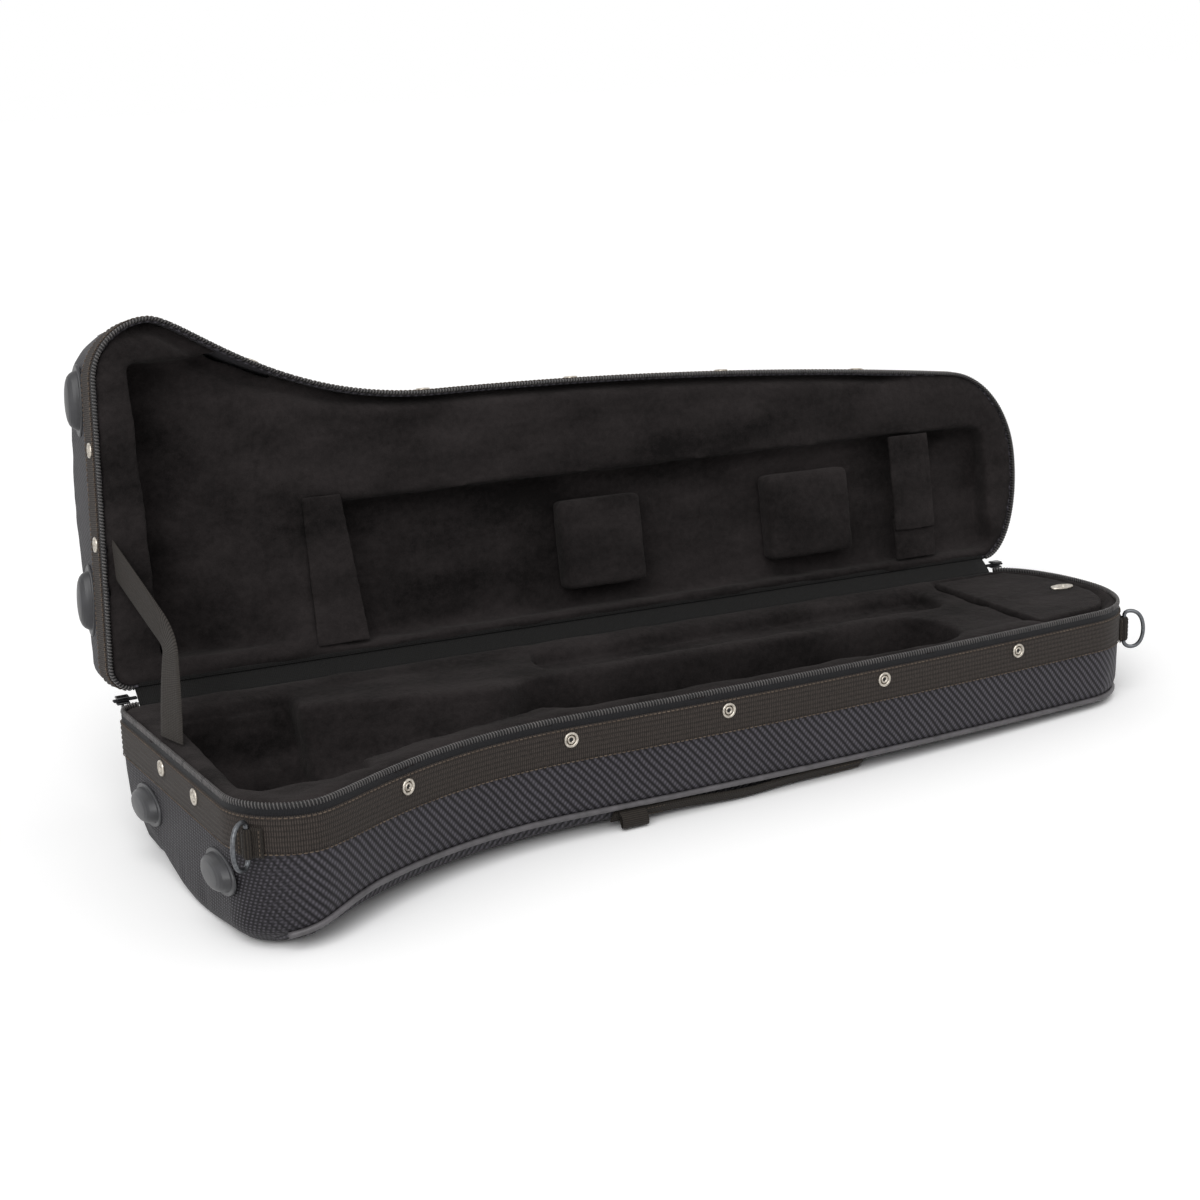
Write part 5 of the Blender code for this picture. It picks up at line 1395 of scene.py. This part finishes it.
def stay_strap():
    """Webbing stay between the bell ends of the two halves, bent at its slack middle."""
    top_edge = LINING_TOP - GAP - STAY_THICK / 2
    lid_spot = Vector((end_point(STAY_LID_AT).spot.x + STAY_INSET, STAY_LID_AT))
    base_spot = Vector((end_point(STAY_BASE_AT).spot.x + STAY_INSET, STAY_BASE_AT))
    start = LID.place(lid_spot, top_edge)
    end = BASE.place(base_spot, top_edge)
    lid_way = (LID.place(lid_spot + Vector((0, 1)), top_edge) - start).normalized()
    base_way = (BASE.place(base_spot + Vector(STAY_BASE_WAY), top_edge) - end).normalized()
    elbow = BASE.place((STAY_ELBOW[0], -STAY_ELBOW[1]), -STAY_ELBOW[2])
    elbow += (elbow - (start + end) / 2).normalized() * STAY_BEND * STAY_ELBOW_SHARE
    above = elbow + (start - elbow).normalized() * STAY_BEND
    below = elbow + (end - elbow).normalized() * STAY_BEND
    path = [start.lerp(above, step / 14) for step in range(14)]
    for step in range(13):
        t = step / 12
        path.append(above * (1 - t) ** 2 + elbow * (2 * t * (1 - t)) + below * t * t)
    path += [below.lerp(end, step / 14) for step in range(1, 15)]
    frames = []
    for number, (spot, ahead) in enumerate(headings(path)):
        along = ahead.normalized()
        way = lid_way.lerp(base_way, smooth(number / (len(path) - 1))).normalized()
        across = way / max(along.cross(way).length, STAY_LEAST_TURN)
        frames.append((spot, across, along.cross(way).normalized()))
    section = [(a, b - STAY_THICK / 2) for a, b in strap_section(STAY_WIDTH, STAY_THICK, 9, STAY_RIB_HEIGHT)]
    made = piece("stay_strap_webbing", ribbon(frames, section), STAY, None, ["stay_strap"],
                 50)
    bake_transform(made)


def measured(node):
    """The size of a CAD node's box and a matrix that moves to its middle."""
    low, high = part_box(node)
    return high - low, Matrix.Translation((low + high) / 2)


def zip_end(name, body, way):
    """Folded tape end on the hinge line, the slider on it and the slider's hanging pull."""
    node = "zip_tail_" + name
    size, stand = measured(node)
    piece(node + "_tape", block(size, TAPE_ROUND, stand, 2), TAPE, "base", [node], 50)

    node = "zip_slider_" + name
    size, stand = measured(node)
    bm = bmesh.new()
    for side in (-1, 1):
        lifted = stand @ Matrix.Translation((0, 0, side * size.z * PLATES_AT_SHARE))
        absorb(bm, block((size.x, size.y, SLIDER_PLATE), SLIDER_ROUND, lifted))
    aside = stand @ Matrix.Translation((way * SLIDER_POST_AT, 0, 0))
    absorb(bm, block((size.x * POST_SHARES[0], SLIDER_POST, size.z * POST_SHARES[1]), POST_ROUND, aside))
    piece(node + "_body", bm, ENAMEL, "base", [node], 50)

    node = "zip_pull_" + name
    size, stand = measured(node)
    bm = block(size, min(size.x, size.y) * PULL_ROUND_SHARE, stand, 4)
    lowered = stand @ Matrix.Translation((0, 0, -size.z * GRIP_DROP_SHARE))
    grip = [length * share for length, share in zip(size, GRIP_SHARES)]
    absorb(bm, block(grip, size.x * GRIP_ROUND_SHARE, lowered))
    piece(node + "_tab", bm, ENAMEL, body, [node], 50)


def pull_plate():
    """Oval pull of the compartment: a pressed plate with a rolled rim round a finger hole."""
    stand = measured("compartment_pull_plate")[1] @ Matrix.Translation((0, 0, -PULL_SUNK))
    turn = stand @ CASE_TURN.to_4x4() @ Matrix.Diagonal((1, PULL_OVAL_SHARE, 1, 1))
    bm = spun(PULL_RIM, 48)
    bmesh.ops.transform(bm, matrix=turn, verts=bm.verts)
    piece("compartment_pull_ring", bm, NICKEL, "compartment_cover", ["compartment_pull_plate"],
          50)
    dark_hole("compartment_pull_hole", "compartment_cover", turn, PULL_HOLE, 32)


spine_hinge()
stay_strap()
zip_end("bell_end", "pull_bell", 1)
zip_end("narrow_end", "pull_narrow", -1)
pull_plate()


# Plush linings

def remeshed(node, voxel):
    """Even small faces over a CAD node's solid, so that its edges can be rounded and its pile laid."""
    bm = bmesh.new()
    bm.from_mesh(NODES[node].data)
    bmesh.ops.remove_doubles(bm, verts=bm.verts, dist=0.00001)
    mesh = bpy.data.meshes.new("foam")
    bm.to_mesh(mesh)
    bm.free()
    made = bpy.data.objects.new("foam", mesh)
    bpy.context.scene.collection.objects.link(made)
    remesh = made.modifiers.new("remesh", "REMESH")
    remesh.mode = "VOXEL"
    remesh.voxel_size = voxel
    done = bpy.data.meshes.new_from_object(made.evaluated_get(bpy.context.evaluated_depsgraph_get()))
    bpy.data.objects.remove(made)
    bm = bmesh.new()
    bm.from_mesh(done)
    bpy.data.meshes.remove(done)
    return bm


def soften(bm, verts, rounds):
    for _ in range(rounds):
        bmesh.ops.smooth_vert(bm, verts=verts, factor=0.5, use_axis_x=True, use_axis_y=True, use_axis_z=True)


def fading(value, start, length):
    """1 up to the start, falling smoothly to 0 over the length."""
    return 1 - smooth((value - start) / length)


def welt_depth(u, far, depth):
    """How far the border of the lid sinks into the groove beside its flared zip side."""
    wide = mix(*WELT_WIDTHS, smooth(1 - abs(u - WELT_WIDEST_AT) / WELT_SPREAD))
    ends = smooth((u - WELT_FROM) / WELT_FADE) * fading(u, WELT_TO, WELT_END_FADE)
    beside = fading(far, wide * WELT_FLAT_SHARE, wide * WELT_RISE_SHARE)
    return WELT_DEPTH * ends * beside * fading(depth, WELT_FLOOR, WELT_FLOOR_FADE)


def lining(half):
    """Plush over foam: rounded edges, a puffed border out to the zip, a sunk welt under the lid's flare."""
    bm = remeshed(half.name + "_lining", LINING_VOXEL)
    soften(bm, bm.verts, 2)
    inner = []
    for vert in bm.verts:
        u, w, depth = half.local(vert.co)
        if nearest_rim(u, w)[0] > INNER_FROM and depth < INNER_DEPTH:
            inner.append(vert)
    soften(bm, inner, INNER_ROUNDS[half.name])
    down = half.turn @ Vector((0, 0, 1 if half.lid else -1))
    border = []
    for vert in bm.verts:
        u, w, depth = half.local(vert.co)
        far, best = nearest_rim(u, w)
        uneven = noise.noise(vert.co * UNEVEN_PER_M) * UNEVEN
        if depth < BORDER_DEPTH:
            reach = WALLS[half.name] - BORDER_STOPS_SHORT
            reach *= smooth((BORDER_DEPTH - depth) / BORDER_FADE) * fading(far, BORDER_FROM, BORDER_SPREAD)
            vert.co += (half.place(best.spot + best.out, 0) - half.place(best.spot, 0)) * reach
            far -= reach
            if far < BORDER_WIDTH:
                border.append(vert)
        if depth < TOP_DEPTH:
            puff = math.sin(math.pi * min(far / BORDER_WIDTH, 1.0)) * PUFFS[half.name]
            sink = TOP_SINK * smooth((far - SINK_FROM) / SINK_SPREAD)
            edge = EDGE_SINK * fading(far, EDGE_FROM, EDGE_SPREAD)
            vert.co += down * (sink + edge - puff)
        if half.lid and FRONT_CORNER_ARC <= best.arc <= BOW_ARC:
            vert.co += down * welt_depth(best.spot.x, far, depth)
        vert.co += vert.normal * (uneven - PLUSH_IN + noise.noise(vert.co * PILE_PER_M) * PILE)
    soften(bm, border, 2)
    made = piece(half.name + "_plush_insert", bm, PLUSH, half.name, [half.name + "_lining"],
                 0)


def soft_pad(node, body, voxel, rounds, pile=0.0004):
    """Small plush-covered pad from its solid."""
    bm = remeshed(node, voxel)
    soften(bm, bm.verts, rounds)
    for vert in bm.verts:
        vert.co += vert.normal * (noise.noise(vert.co * PAD_PILE_PER_M) * pile - PAD_IN)
    made = piece(node + "_plush", bm, PLUSH, body, [node], 0)


for half in (BASE, LID):
    lining(half)
soft_pad("compartment_lid", "compartment_cover", 0.0019, 3)
soft_pad("slide_block_1", "lid", 0.0018, 12)
soft_pad("slide_block_2", "lid", 0.0018, 12)
soft_pad("slide_pocket_flap", "lid", 0.0011, 2, pile=0.0002)
soft_pad("slide_strap_lower", "lid", 0.0010, 2, 0.0002)
soft_pad("slide_strap_upper", "slide_strap", 0.0010, 2, 0.0002)

for name in ("underside_foot_front", "underside_foot_spine"):
    for slot in NODES[name].material_slots:
        slot.material = RUBBER
